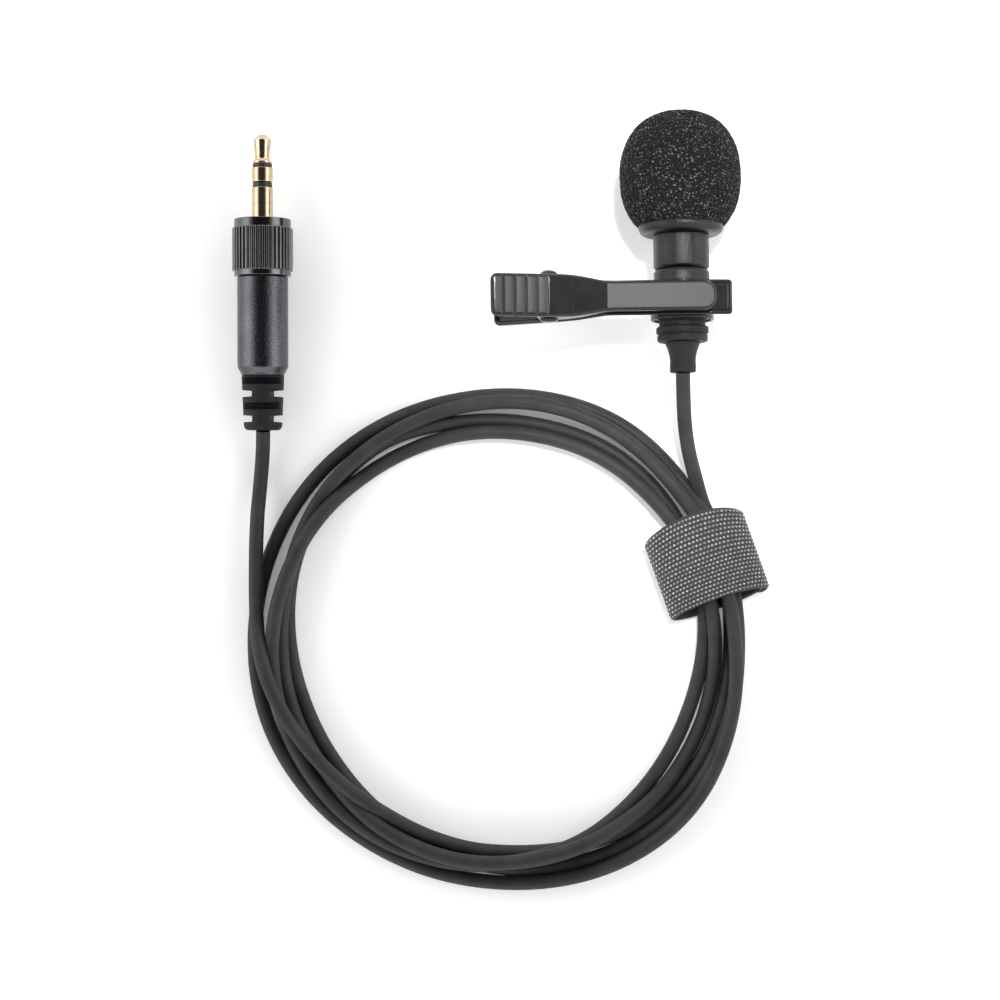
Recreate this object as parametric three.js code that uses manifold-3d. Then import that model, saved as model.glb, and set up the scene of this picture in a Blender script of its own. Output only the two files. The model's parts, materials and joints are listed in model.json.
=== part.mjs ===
// A lavalier microphone: foam windscreen, capsule in a turned two-part barrel, a sprung clothing
// clip that swivels on the barrel, a coiled cable with its fabric tie, and a 3.5 mm plug with a
// threaded locking ring. Millimetres, +Z up, lying on the surface z = 0. The microphone's axis
// runs along +Y; the origin is on the surface under the middle of the microphone and its clip.
import * as THREE from "three";
import { mergeVertices } from "three/addons/utils/BufferGeometryUtils.js";
import Module from "manifold-3d";

const wasm = await Module();
wasm.setup();

// Driving dimensions, in millimetres. A length along the microphone or the plug is measured from
// where its cable leaves it.
const fit = { slide: 0.1, seat: 0.05, meet: 0.3 }; // running, seated and cord-end clearances
const round = { coarse: 16, fine: 28, corner: 4 }; // facets on small and large turned pieces

const windscreen = {
  radius: 10, domeHeight: 10.8, skirtHeight: 8.2, squareness: 2.3, steps: 6,
  lip: 0.15, // its lower edge's wall, round the cup
  foot: 1.55, // its lower edge, above the foot of the cup
};
const relief = { radius: 2.17, flareRadius: 2.9, straight: 1.9, length: 4.95, spigotWall: 0.5 };
const endCap = {
  radius: 4.3, lipRadius: 4.12, lipLength: 1.15, length: 2.5, neckInset: 0.3, chamfer: 0.3,
};
const neck = { length: 1.3, spigotLength: 2.2, floor: 0.5, wall: 0.6 };
const barrel = {
  radius: 4.6, wall: 0.5, lowerLength: 8, upperLength: 5.7, chamfer: 0.25, chamferLength: 0.42,
  spigotLength: 2.8,
};
const cup = { height: 2.9, corner: 1.05, floor: 1.4, wall: 0.65, bore: 3.4 };
const grille = { length: 8.3, wall: 0.5, holeRadius: 0.7, holeRing: 3, holes: 6 };
const capsule = { radius: 4.85, length: 4.8, lip: 0.4 };
const boot = { wall: 0.75 };
const board = { radius: 4.2, thickness: 0.8, standoff: 0.6 };
const wire = { radius: 0.35, spread: 0.8, bulge: 1.6, sway: 0.4, twist: 0.5, sides: 6, steps: 8 };
const crimp = { wall: 0.5, length: 2.2 };

const clip = {
  centre: 11.7, // from the cable's exit to the middle of the clip
  sheet: 0.6, collarWall: 0.48, collarLength: 6.4,
  padEnd: -31.5, padHalf: 3.45, padTaper: -18.3, bend: -12.7, stripHalf: 2.4, stripTip: 4.9,
  stripHeight: 2.4, padRise: 3.95, padCorner: 1.3, tipCorner: 2.1, padLip: 1.1,
  taperRound: 2, bendRound: 1.5, plateBendRound: 1,
  toothPitch: 2.6, toothDepth: 0.5, teeth: 6, toothStart: -12.4,
  plateTip: 7.7, plateHalf: 2.85, plateCorner: 0.7, rearEnd: -31, rearDrop: 8.55,
  grooveStart: -29.5, groovePitch: 1.79, grooves: 5, grooveDepth: 0.25, grooveWidth: 0.45,
  grooveHalf: 2.9,
};
const pin = {
  x: -22.1, height: 1.15, radius: 0.85, headRadius: 1.5, headHeight: 0.9, headFacets: 3,
  earRadius: 2.1, earCorner: 1.05,
};
const spring = {
  wire: 0.3, turns: 4, pitch: 0.75, legLength: 4.2, openTurn: 0.49, steps: 10, sides: 6,
  legSteps: 4,
};

const plug = {
  x: -59.17, y: -29.87, turn: -0.012, // where its cable leaves it, and its heading from +Y
  reliefRadius: 3.18, reliefTopRadius: 3.56, reliefLength: 9.1, reliefEnd: 0.8,
  slotWidth: 1.05, slotPitch: 2.1, slotTop: 8.75, slots: 4, slotWall: 0.25,
  tailRadius: 3.62, tailLength: 1.45, radius: 4.25, length: 15, wall: 0.75,
  spigotLength: 2.6, neckLength: 6.2, insertLength: 3,
};
const lockRing = {
  radius: 5.05, rimRadius: 4.75, frontRim: 1.5, rearRim: 0.92, knurl: 7.08, teeth: 42,
  toothDepth: 0.22, floor: 2.6, recess: 0.6, retainer: 0.6,
};
const jack = { // 3.5 mm three-pole
  radius: 1.75, length: 14.15, sleeve: 5.35, rearInsulator: 0.85, ring: 2.45, frontInsulator: 0.65,
  insulatorDepth: 0.13, tipNeck: 1.22, tipRadius: 1.45, tipFlare: 1.58, flareLength: 0.15,
  neckAt: 0.75, shoulderAt: 3.85, noseRadius: 0.87, noseLength: 0.32,
  wall: 0.3, flangeReach: 0.75, flange: 1.2, layers: 4,
};

const cable = { radius: 1.2, sides: 8, steps: 7 };
const coil = {
  x: -20.74, farEdge: -22.02, inner: 32.1, outer: 43.4, height: 4.9, corner: 1.6, facets: 56,
};
const tie = {
  turn: 0.328, inset: 0.45, width: 13.6, thickness: 1.2, slack: 1.65, corner: 2.6,
  tabLength: 7, tabThickness: 1, tabOffset: 3.2, tabCorner: 1,
};

// Where things stand that follow from the sizes above.
const micX = 10.75;
const micExit = -21.6;
const micAxis = windscreen.radius; // the windscreen rests on the surface
const neckFrom = relief.length + fit.seat + endCap.length;
const barrelFrom = neckFrom + neck.length;
const seam = barrelFrom + barrel.lowerLength;
const cupFrom = seam + fit.slide + barrel.upperLength + fit.seat;
const boardFrom = cupFrom + cup.floor + board.standoff;
const capsuleFrom = boardFrom + board.thickness + board.standoff;
const cableBore = cable.radius + fit.seat; // of whatever the cable passes through
const reliefSpigot = cableBore + relief.spigotWall;
const barrelBore = barrel.radius - barrel.wall;
const neckRadius = barrelBore - endCap.neckInset;
const bootRadius = capsule.radius + fit.seat + boot.wall;
const grilleRadius = bootRadius + fit.seat + grille.wall;
const cupRadius = grilleRadius + fit.slide + cup.wall;
const collarOuter = barrel.radius + fit.slide + clip.collarWall;
const plateUnder = collarOuter + fit.seat; // clip heights are above the microphone's axis
const plateTop = plateUnder + clip.sheet;
const stripTop = plateTop + fit.slide + clip.stripHeight;
const pinAt = plateTop + pin.height;
const plugTail = plug.reliefLength + fit.seat;
const plugFront = plugTail + plug.tailLength + plug.length;
const neckTop = plugFront + plug.neckLength;
const insulatorRadius = jack.radius - jack.insulatorDepth;
const flangeRadius = jack.radius + jack.flangeReach;
const plugNeckBore = flangeRadius + fit.slide;
const plugNeckRadius = plugNeckBore + plug.wall;
const threadRadius = plugNeckRadius + lockRing.recess;
const lockFrom = plugFront + fit.slide;
const lockLength = lockRing.rearRim + lockRing.knurl + lockRing.frontRim;
const jackFrom = lockFrom + lockLength; // the sleeve shows from here to the tip
const coilY = coil.farEdge - coil.outer;
const tieBottom = tie.thickness + fit.meet;
const tieRadius = (coil.inner + coil.outer) / 2 - tie.inset; // its middle, from the coil's

const finish = {
  foam: [0x18181a, 1, 0], satinBlack: [0x232427, 0.42, 0.6], rubber: [0x2c2d2f, 0.8, 0],
  paintedSteel: [0x1f2022, 0.35, 0.5], spring: [0x8b8d90, 0.3, 1], blueBlack: [0x1d232d, 0.5, 0.4],
  gold: [0xc9a878, 0.25, 1], insulator: [0x151515, 0.5, 0], jacket: [0x3c3d3f, 0.65, 0],
  strap: [0x3f4144, 0.9, 0], board: [0x2b5138, 0.6, 0], capsule: [0xb9bbbe, 0.3, 1],
  copper: [0xb56a3a, 0.4, 1], redWire: [0x9d2b25, 0.6, 0], clearWire: [0xd9d6cf, 0.6, 0],
};

const model = new THREE.Group();
const mergeWithin = 1e-4;

// Adds one named piece with its own material to a group.
function addPiece(group, name, geometry, [color, roughness, metalness]) {
  const material = new THREE.MeshStandardMaterial({ color, roughness, metalness });
  const mesh = new THREE.Mesh(geometry, material);
  mesh.name = name;
  group.add(mesh);
}

// A geometry as a solid that can be cut or joined.
function solidOf(geometry) {
  const bare = geometry.clone();
  bare.deleteAttribute("normal");
  bare.deleteAttribute("uv");
  const merged = mergeVertices(bare, mergeWithin);
  const vertProperties = new Float32Array(merged.attributes.position.array);
  const triVerts = new Uint32Array(merged.index.array);
  return new wasm.Manifold(new wasm.Mesh({ numProp: 3, vertProperties, triVerts }));
}

function geometryOf(solid) {
  const mesh = solid.getMesh();
  const geometry = new THREE.BufferGeometry();
  geometry.setAttribute("position", new THREE.BufferAttribute(mesh.vertProperties, 3));
  geometry.setIndex(new THREE.BufferAttribute(mesh.triVerts, 1));
  return geometry;
}

const cut = (solid, ...tools) => tools.reduce((left, tool) => left.subtract(solidOf(tool)), solid);

// Turns a profile of [radius, height] points about +Y. Heights rise along the outside.
function turned(profile, facets = round.fine) {
  return new THREE.LatheGeometry(profile.map(([r, y]) => new THREE.Vector2(r, y)), facets);
}

// A turned piece with a bore: its profile goes up the outside, down the bore and closes.
const turnedRing = (profile, facets) => turned([...profile, profile[0]], facets);

// Points of a quarter turn from angle to angle, in degrees, about a profile's corner centre.
function cornerArc(r, y, radius, from, to) {
  return Array.from({ length: round.corner + 1 }, (_, i) => {
    const angle = THREE.MathUtils.degToRad(from + ((to - from) * i) / round.corner);
    return [r + radius * Math.cos(angle), y + radius * Math.sin(angle)];
  });
}

// A closed outline through corners [x, y, rounding].
function outline(corners) {
  const shape = new THREE.Shape();
  corners.forEach(([x, y, rounding = 0], i) => {
    const here = new THREE.Vector2(x, y);
    const toward = ([nx, ny]) => new THREE.Vector2(nx, ny).sub(here).setLength(rounding).add(here);
    const start = toward(corners.at(i - 1));
    const end = toward(corners[(i + 1) % corners.length]);
    if (i) shape.lineTo(start.x, start.y);
    else shape.moveTo(start.x, start.y);
    if (rounding) shape.quadraticCurveTo(x, y, end.x, end.y);
  });
  return shape;
}

// An outline drawn in x and y, from height low to height high.
function planSlab(corners, low, high) {
  const options = { depth: high - low, bevelEnabled: false, curveSegments: round.corner };
  return new THREE.ExtrudeGeometry(outline(corners), options).translate(0, 0, low);
}

// An outline drawn in x and z, from y = from to y = to.
function sideSlab(corners, from, to) {
  const options = { depth: to - from, bevelEnabled: false, curveSegments: round.corner };
  const slab = new THREE.ExtrudeGeometry(outline(corners), options);
  return slab.rotateX(Math.PI / 2).translate(0, to, 0);
}

// A round wire or cable through points.
function tubeAlong(points, radius, sides, steps) {
  const section = new THREE.Shape();
  for (let i = 0; i < sides; i++) {
    const angle = (2 * Math.PI * i) / sides;
    const corner = [radius * Math.cos(angle), radius * Math.sin(angle)];
    if (i) section.lineTo(...corner);
    else section.moveTo(...corner);
  }
  const path = new THREE.CatmullRomCurve3(points.map((p) => new THREE.Vector3(...p)));
  return new THREE.ExtrudeGeometry(section, { extrudePath: path, steps, bevelEnabled: false });
}

// A rod along Y with its middle at x, z.
function rod(radius, from, to, x = 0, z = 0) {
  const rodShape = new THREE.CylinderGeometry(radius, radius, to - from, round.coarse);
  return rodShape.translate(x, (from + to) / 2, z);
}

// The microphone, along +Y from its cable's exit.
const mic = new THREE.Group();
mic.position.set(micX, micExit, micAxis);
model.add(mic);

// The foam ball: a squared ellipsoid cut off flat below, with a pocket that fits the grille.
function windscreenFoam() {
  const middle = cupFrom + windscreen.foot + windscreen.skirtHeight;
  const power = windscreen.squareness;
  const pocket = grilleRadius + fit.slide;
  const mouth = cupRadius + fit.slide;
  const footShare = (mouth + windscreen.lip) / windscreen.radius;
  const skirtDepth = windscreen.skirtHeight / (1 - footShare ** power) ** (1 / power);
  const outside = [];
  const radiusAt = (rise, reach) => windscreen.radius * (1 - (rise / reach) ** power) ** (1 / power);
  for (let i = windscreen.steps; i > 0; i--) {
    const drop = (windscreen.skirtHeight * i) / windscreen.steps;
    outside.push([radiusAt(drop, skirtDepth), middle - drop]);
  }
  for (let i = 0; i < 2 * windscreen.steps; i++) {
    const rise = windscreen.domeHeight * Math.sin((Math.PI / 4) * (i / windscreen.steps));
    outside.push([radiusAt(rise, windscreen.domeHeight), middle + rise]);
  }
  outside.push([0, middle + windscreen.domeHeight]);
  const pocketTop = cupFrom + cup.floor + fit.seat + grille.length + fit.slide;
  const step = cupFrom + cup.height + fit.slide;
  const inside = [[0, pocketTop], [pocket, pocketTop], [pocket, step], [mouth, step]];
  const foot = middle - windscreen.skirtHeight;
  return turned([...inside, [mouth, foot], ...outside]);
}

function endCapProfile() {
  const from = relief.length + fit.seat;
  const lip = from + endCap.lipLength;
  const spigotTop = barrelFrom + neck.spigotLength;
  const spigotBore = neckRadius - neck.wall;
  const hole = reliefSpigot + fit.slide;
  return [
    [hole, from], [endCap.lipRadius - endCap.chamfer, from],
    [endCap.lipRadius, from + endCap.chamfer],
    [endCap.lipRadius, lip], [endCap.radius, lip], [endCap.radius, neckFrom],
    [neckRadius, neckFrom], [neckRadius, spigotTop], [spigotBore, spigotTop],
    [spigotBore, neckFrom + neck.floor], [hole, neckFrom + neck.floor],
  ];
}

// The rubber sleeve that the cable leaves through; its spigot passes through the end cap.
function reliefProfile() {
  const spigotTop = neckFrom + neck.floor + fit.meet;
  const middle = (relief.straight + relief.length) / 2;
  const middleRadius = relief.radius + (relief.flareRadius - relief.radius) / 3;
  return [
    [cableBore, 0], [relief.radius, 0], [relief.radius, relief.straight], [middleRadius, middle],
    [relief.flareRadius, relief.length], [reliefSpigot, relief.length],
    [reliefSpigot, spigotTop], [cableBore, spigotTop],
  ];
}

function lowerBarrelProfile() {
  const edge = barrel.radius - barrel.chamfer;
  return [
    [barrelBore, barrelFrom], [barrel.radius, barrelFrom],
    [barrel.radius, seam - barrel.chamferLength], [edge, seam], [barrelBore, seam],
  ];
}

// The upper barrel's spigot screws down into the lower one.
function upperBarrelProfile() {
  const from = seam + fit.slide;
  const top = from + barrel.upperLength;
  const spigot = barrelBore - fit.slide;
  const bore = spigot - barrel.wall;
  return [
    [bore, seam - barrel.spigotLength], [spigot, seam - barrel.spigotLength], [spigot, from],
    [barrel.radius - barrel.chamfer, from], [barrel.radius, from + barrel.chamferLength],
    [barrel.radius, top], [bore, top],
  ];
}

function cupProfile() {
  const corner = cornerArc(cupRadius - cup.corner, cupFrom + cup.corner, cup.corner, -90, 0);
  const seatRadius = cupRadius - cup.wall;
  return [
    [cup.bore, cupFrom], ...corner, [cupRadius, cupFrom + cup.height],
    [seatRadius, cupFrom + cup.height], [seatRadius, cupFrom + cup.floor],
    [cup.bore, cupFrom + cup.floor],
  ];
}

// A thin cap with a centre hole and a ring of holes in its face.
function grilleCap() {
  const from = cupFrom + cup.floor + fit.seat;
  const top = from + grille.length;
  const inner = grilleRadius - grille.wall;
  const shell = solidOf(turned([
    [0, top - grille.wall], [inner, top - grille.wall], [inner, from], [grilleRadius, from],
    [grilleRadius, top - grille.wall], [grilleRadius - grille.wall, top], [0, top],
  ]));
  const holes = [rod(grille.holeRadius, top - 2 * grille.wall, top + grille.wall)];
  for (let i = 0; i < grille.holes; i++) {
    const angle = (2 * Math.PI * i) / grille.holes;
    const [x, z] = [grille.holeRing * Math.cos(angle), grille.holeRing * Math.sin(angle)];
    holes.push(rod(grille.holeRadius, top - 2 * grille.wall, top + grille.wall, x, z));
  }
  return geometryOf(cut(shell, ...holes));
}

function capsuleProfile() {
  const top = capsuleFrom + capsule.length;
  return [
    [0, capsuleFrom], [capsule.radius - capsule.lip, capsuleFrom],
    [capsule.radius, capsuleFrom + capsule.lip], [capsule.radius, top - capsule.lip],
    [capsule.radius - capsule.lip, top], [0, top],
  ];
}

function bootProfile() {
  const inner = capsule.radius + fit.seat;
  const top = capsuleFrom + capsule.length - capsule.lip;
  return [
    [inner, capsuleFrom], [bootRadius, capsuleFrom], [bootRadius, top], [inner, top],
  ];
}

const crimpFrom = neckFrom + neck.floor + 2 * fit.meet + fit.seat;
const crimpTop = crimpFrom + crimp.length;
const crimpRadius = cableBore + crimp.wall;
const crimpProfile = (from, to) => [
  [cableBore, from], [crimpRadius, from], [crimpRadius, to], [cableBore, to],
];

// The two conductors, from the end of the cable's jacket to the capsule's board.
function micWire(side) {
  const from = crimpTop + 2 * fit.meet;
  const to = boardFrom - fit.meet;
  const x = side * wire.spread;
  const third = (to - from) / 3;
  const points = [
    [x, from, 0], [x * wire.bulge, from + third, wire.sway], [x, to - third, -wire.sway], [x, to, 0],
  ];
  return tubeAlong(points, wire.radius, wire.sides, wire.steps);
}

addPiece(mic, "windscreen_foam", windscreenFoam(), finish.foam);
addPiece(mic, "head_cup", turnedRing(cupProfile()), finish.satinBlack);
addPiece(mic, "grille_cap", grilleCap(), finish.satinBlack);
addPiece(mic, "electret_capsule", turned(capsuleProfile()), finish.capsule);
addPiece(mic, "capsule_boot", turnedRing(bootProfile()), finish.rubber);
addPiece(mic, "capsule_board",
  rod(board.radius, boardFrom, boardFrom + board.thickness), finish.board);
addPiece(mic, "mic_barrel_upper", turnedRing(upperBarrelProfile()), finish.satinBlack);
addPiece(mic, "mic_barrel_lower", turnedRing(lowerBarrelProfile()), finish.satinBlack);
addPiece(mic, "mic_end_cap", turnedRing(endCapProfile()), finish.rubber);
addPiece(mic, "mic_strain_relief", turnedRing(reliefProfile(), round.coarse), finish.rubber);
addPiece(mic, "mic_cable_crimp",
  turnedRing(crimpProfile(crimpFrom, crimpTop), round.coarse), finish.copper);
addPiece(mic, "mic_cable_end", rod(cable.radius, 0, crimpTop + fit.meet), finish.jacket);
addPiece(mic, "mic_signal_wire", micWire(1), finish.redWire);
addPiece(mic, "mic_ground_wire", micWire(-1), finish.clearWire);

// The clip: x runs along its arms from the barrel's axis, z is the height above that axis.
const clipGroup = new THREE.Group();
clipGroup.position.set(0, clip.centre, 0);
mic.add(clipGroup);
const padSlope = clip.padRise / (clip.bend - clip.padEnd);
const rearSlope = clip.rearDrop / (clip.bend - clip.rearEnd);
const farBelow = -plateTop;
const farAbove = stripTop + 2 * clip.padRise;

function frontPlan(inset) {
  const pad = clip.padHalf - inset;
  const strip = clip.stripHalf - inset;
  const [left, right] = [clip.padEnd + inset, clip.stripTip - inset];
  const [padCorner, tipCorner] = [clip.padCorner - inset / 2, clip.tipCorner - inset];
  return [
    [left, -pad, padCorner], [clip.padTaper, -pad, clip.taperRound],
    [clip.bend, -strip, clip.bendRound], [right, -strip, tipCorner], [right, strip, tipCorner],
    [clip.bend, strip, clip.bendRound], [clip.padTaper, pad, clip.taperRound],
    [left, pad, padCorner],
  ];
}

// The side view of the front arm's folded edges: pad lip, pin ears and the toothed jaw.
function frontSide() {
  const jaw = plateTop + fit.slide;
  const padTop = stripTop + clip.padRise;
  const earLow = pinAt - pin.earRadius;
  const teeth = Array.from({ length: clip.teeth }, (_, i) => {
    const x = clip.toothStart + clip.toothPitch * i;
    return [[x, jaw], [x + clip.toothPitch / 2, jaw + clip.toothDepth]];
  }).flat();
  const lipAt = (x) => stripTop + (clip.bend - x) * padSlope - clip.padLip;
  const earLeft = pin.x - pin.earRadius;
  const earRight = pin.x + pin.earRadius;
  return [
    [clip.padEnd, padTop], [clip.padEnd, padTop - clip.padLip], [earLeft, lipAt(earLeft)],
    [earLeft, earLow, pin.earCorner], [earRight, earLow, pin.earCorner],
    [earRight + pin.earRadius, jaw], ...teeth, [clip.stripTip, jaw], [clip.stripTip, stripTop],
    [clip.bend, stripTop],
  ];
}

function frontArm() {
  const wide = 2 * clip.padHalf;
  const under = stripTop - clip.sheet;
  const hollow = [
    [clip.padEnd - clip.sheet, under + (clip.bend - clip.padEnd + clip.sheet) * padSlope],
    [clip.padEnd - clip.sheet, farBelow], [clip.stripTip + clip.sheet, farBelow],
    [clip.stripTip + clip.sheet, under], [clip.bend, under],
  ];
  const outside = solidOf(sideSlab(frontSide(), -wide, wide))
    .intersect(solidOf(planSlab(frontPlan(0), farBelow, farAbove)));
  const inside = solidOf(sideSlab(hollow, -wide, wide))
    .intersect(solidOf(planSlab(frontPlan(clip.sheet), farBelow, farAbove)));
  const grooves = Array.from({ length: clip.grooves }, (_, i) => {
    const x = clip.grooveStart + clip.groovePitch * i;
    const top = stripTop + (clip.bend - x) * padSlope;
    const half = clip.grooveWidth / 2;
    const notch = [[x, top - clip.grooveDepth], [x + half, top + half], [x - half, top + half]];
    return sideSlab(notch, -clip.grooveHalf, clip.grooveHalf);
  });
  const pinHole = rod(pin.radius + fit.slide, -wide, wide, pin.x, pinAt);
  return geometryOf(cut(outside.subtract(inside), ...grooves, pinHole));
}

// The rear arm: a flat jaw plate on the collar, a thumb pad that slopes away, and two pin ears
// that stand inside the front arm's.
function rearArm() {
  const wide = 2 * clip.padHalf;
  const band = [
    [clip.plateTip, plateTop], [clip.bend, plateTop], [clip.rearEnd, plateTop - clip.rearDrop],
    [clip.rearEnd, plateUnder - clip.rearDrop], [clip.bend, plateUnder], [clip.plateTip, plateUnder],
  ];
  const plan = [
    [clip.rearEnd, -clip.padHalf, clip.padCorner], [clip.padTaper, -clip.padHalf, clip.taperRound],
    [clip.bend, -clip.plateHalf, clip.plateBendRound],
    [clip.plateTip, -clip.plateHalf, clip.plateCorner],
    [clip.plateTip, clip.plateHalf, clip.plateCorner],
    [clip.bend, clip.plateHalf, clip.plateBendRound],
    [clip.padTaper, clip.padHalf, clip.taperRound], [clip.rearEnd, clip.padHalf, clip.padCorner],
  ];
  const arm = solidOf(sideSlab(band, -wide, wide))
    .intersect(solidOf(planSlab(plan, farBelow, farAbove)));
  const rearAt = (x) => plateTop - (clip.bend - x) * rearSlope - clip.sheet / 2;
  const [left, right] = [pin.x - pin.earRadius, pin.x + pin.earRadius];
  const ear = [
    [left, rearAt(left)], [right, rearAt(right)], [right, pinAt + pin.earRadius, pin.earCorner],
    [left, pinAt + pin.earRadius, pin.earCorner],
  ];
  const outer = clip.padHalf - clip.sheet - fit.slide;
  const ears = solidOf(sideSlab(ear, outer - clip.sheet, outer))
    .add(solidOf(sideSlab(ear, -outer, clip.sheet - outer)));
  const pinHole = rod(pin.radius + fit.slide, -wide, wide, pin.x, pinAt);
  return geometryOf(cut(arm.add(ears), pinHole));
}

// A rivet with a domed head at each end.
function pivotPin() {
  const shoulder = clip.padHalf + fit.slide;
  const dome = Array.from({ length: pin.headFacets }, (_, i) => {
    const angle = (Math.PI / 2) * (i / pin.headFacets);
    return [pin.headRadius * Math.cos(angle), shoulder + pin.headHeight * Math.sin(angle)];
  });
  const upper = [[pin.radius, shoulder], ...dome, [0, shoulder + pin.headHeight]];
  const lower = upper.map(([r, y]) => [r, -y]).reverse();
  return turned([...lower, ...upper], round.coarse).translate(pin.x, 0, pinAt);
}

// A torsion spring round the pin. Its legs leave the coil below and above, towards the thumb pads;
// the upper leg stands where the front pad comes to when the jaw is fully open.
function torsionSpring() {
  const radius = pin.radius + fit.meet + spring.wire;
  const rearHeading = Math.PI + Math.atan(rearSlope);
  const frontHeading = Math.PI - Math.atan(padSlope) + spring.openTurn;
  const start = rearHeading + Math.PI / 2;
  const sweep = 2 * Math.PI * (spring.turns + 1) + frontHeading - Math.PI / 2 - start;
  const steps = Math.round((spring.steps * sweep) / (2 * Math.PI));
  const coiled = Array.from({ length: steps + 1 }, (_, i) => {
    const angle = start + (sweep * i) / steps;
    const y = spring.pitch * (sweep / (2 * Math.PI)) * (i / steps - 0.5);
    return [pin.x + radius * Math.cos(angle), y, pinAt + radius * Math.sin(angle)];
  });
  const leg = ([x, y, z], heading) => [
    x + spring.legLength * Math.cos(heading), y, z + spring.legLength * Math.sin(heading)];
  const points = [leg(coiled[0], rearHeading), ...coiled, leg(coiled.at(-1), frontHeading)];
  return tubeAlong(points, spring.wire, spring.sides, steps + 2 * spring.legSteps);
}

const collarProfile = [
  [barrel.radius + fit.slide, -clip.collarLength / 2], [collarOuter, -clip.collarLength / 2],
  [collarOuter, clip.collarLength / 2], [barrel.radius + fit.slide, clip.collarLength / 2],
];
addPiece(clipGroup, "clip_front_arm", frontArm(), finish.paintedSteel);
addPiece(clipGroup, "clip_rear_arm", rearArm(), finish.paintedSteel);
addPiece(clipGroup, "clip_collar", turnedRing(collarProfile), finish.paintedSteel);
addPiece(clipGroup, "clip_pivot_pin", pivotPin(), finish.paintedSteel);
addPiece(clipGroup, "clip_spring", torsionSpring(), finish.spring);

// The plug, along +Y from its cable's exit. It lies on its knurled band and on the rear edge of its
// barrel, so its tip is a little higher.
const barrelEdge = plugTail + plug.tailLength;
const plugSlope = Math.atan(
  (lockRing.radius - plug.radius) / (lockFrom + lockRing.rearRim - barrelEdge));
const plugExitHeight = plug.radius * Math.cos(plugSlope) - barrelEdge * Math.sin(plugSlope);
const plugGroup = new THREE.Group();
plugGroup.position.set(plug.x, plug.y, plugExitHeight);
plugGroup.rotation.set(plugSlope, 0, plug.turn, "ZXY");
model.add(plugGroup);

// A flexible sleeve with slots cut from two sides in turn, so that it bends both ways.
function slottedRelief() {
  const slotCore = cableBore + plug.slotWall;
  const top = plug.reliefLength;
  const spigot = plug.tailRadius - plug.wall;
  const body = solidOf(turnedRing([
    [cableBore, 0],
    ...cornerArc(plug.reliefRadius - plug.reliefEnd, plug.reliefEnd, plug.reliefEnd, -90, 0),
    [plug.reliefTopRadius, top], [spigot, top], [spigot, top + plug.spigotLength],
    [cableBore, top + plug.spigotLength],
  ]));
  const cutters = [];
  for (let i = 0; i < plug.slots; i++) {
    const y = plug.slotTop - plug.slotPitch * i;
    for (const side of [1, -1]) {
      const half = plug.slotWidth / 2;
      const size = [2 * plug.radius, plug.slotWidth, plug.radius];
      const block = new THREE.BoxGeometry(...size);
      block.translate(0, y - half, side * (slotCore + plug.radius / 2));
      cutters.push(i % 2 ? block.rotateY(Math.PI / 2) : block);
    }
  }
  return geometryOf(cut(body, ...cutters));
}

function plugBarrelProfile() {
  const tailBore = plug.tailRadius - plug.wall + fit.slide;
  const chamberFrom = plugTail + plug.spigotLength;
  const chamberTop = plugFront - plug.wall;
  const chamber = plug.radius - plug.wall;
  return [
    [tailBore, plugTail], [plug.tailRadius, plugTail], [plug.radius, barrelEdge],
    [plug.radius, plugFront], [plugNeckRadius, plugFront], [plugNeckRadius, neckTop],
    [plugNeckBore, neckTop], [plugNeckBore, chamberTop], [chamber, chamberTop],
    [chamber, chamberFrom], [tailBore, chamberFrom],
  ];
}

// The locking ring: two plain rims, a knurled band between them, and a threaded recess in front
// that screws onto a transmitter's socket.
function lockingRing() {
  const hole = plugNeckRadius + fit.slide;
  const top = jackFrom;
  const floor = lockFrom + lockRing.floor;
  const rimmed = solidOf(turnedRing([
    [hole, lockFrom], [lockRing.rimRadius, lockFrom], [lockRing.rimRadius, top],
    [threadRadius, top], [threadRadius, floor], [hole, floor],
  ]));
  const knurled = new THREE.Shape();
  for (let i = 0; i < 2 * lockRing.teeth; i++) {
    const angle = (Math.PI * i) / lockRing.teeth;
    const radius = lockRing.radius - (i % 2 ? lockRing.toothDepth : 0);
    if (i) knurled.lineTo(radius * Math.cos(angle), radius * Math.sin(angle));
    else knurled.moveTo(radius, 0);
  }
  const bore = lockRing.rimRadius - lockRing.toothDepth;
  knurled.holes.push(new THREE.Path().absarc(0, 0, bore, 0, 2 * Math.PI));
  const options = { depth: lockRing.knurl, bevelEnabled: false, curveSegments: round.fine };
  const band = new THREE.ExtrudeGeometry(knurled, options).rotateX(-Math.PI / 2);
  return geometryOf(rimmed.add(solidOf(band.translate(0, lockFrom + lockRing.rearRim, 0))));
}

// The jack's poles are nested tubes: each pole's tail reaches further back inside the next.
const jackTip = jackFrom + jack.length;
const sleeveTop = jackFrom + jack.sleeve;
const rearInsulatorTop = sleeveTop + jack.rearInsulator;
const ringTop = rearInsulatorTop + jack.ring;
const frontInsulatorTop = ringTop + jack.frontInsulator;
const jackBase = neckTop - jack.flange;
const tubeOuter = (layer) => jack.radius - layer * (jack.wall + fit.seat);

// One pole or insulator: a visible band above a tail that is one wall thick.
function pole(from, to, radius, layer) {
  const outer = tubeOuter(layer);
  const bore = outer - jack.wall;
  const tail = jackBase - 2 * fit.meet * layer;
  return [
    [bore, tail], [outer, tail], [outer, from + fit.seat], [radius, from + fit.seat], [radius, to],
    [bore, to],
  ];
}

const sleeveProfile = [
  [tubeOuter(0) - jack.wall, jackBase], [flangeRadius, jackBase], [flangeRadius, neckTop],
  [jack.radius, neckTop], [jack.radius, sleeveTop], [tubeOuter(0) - jack.wall, sleeveTop],
];

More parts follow.
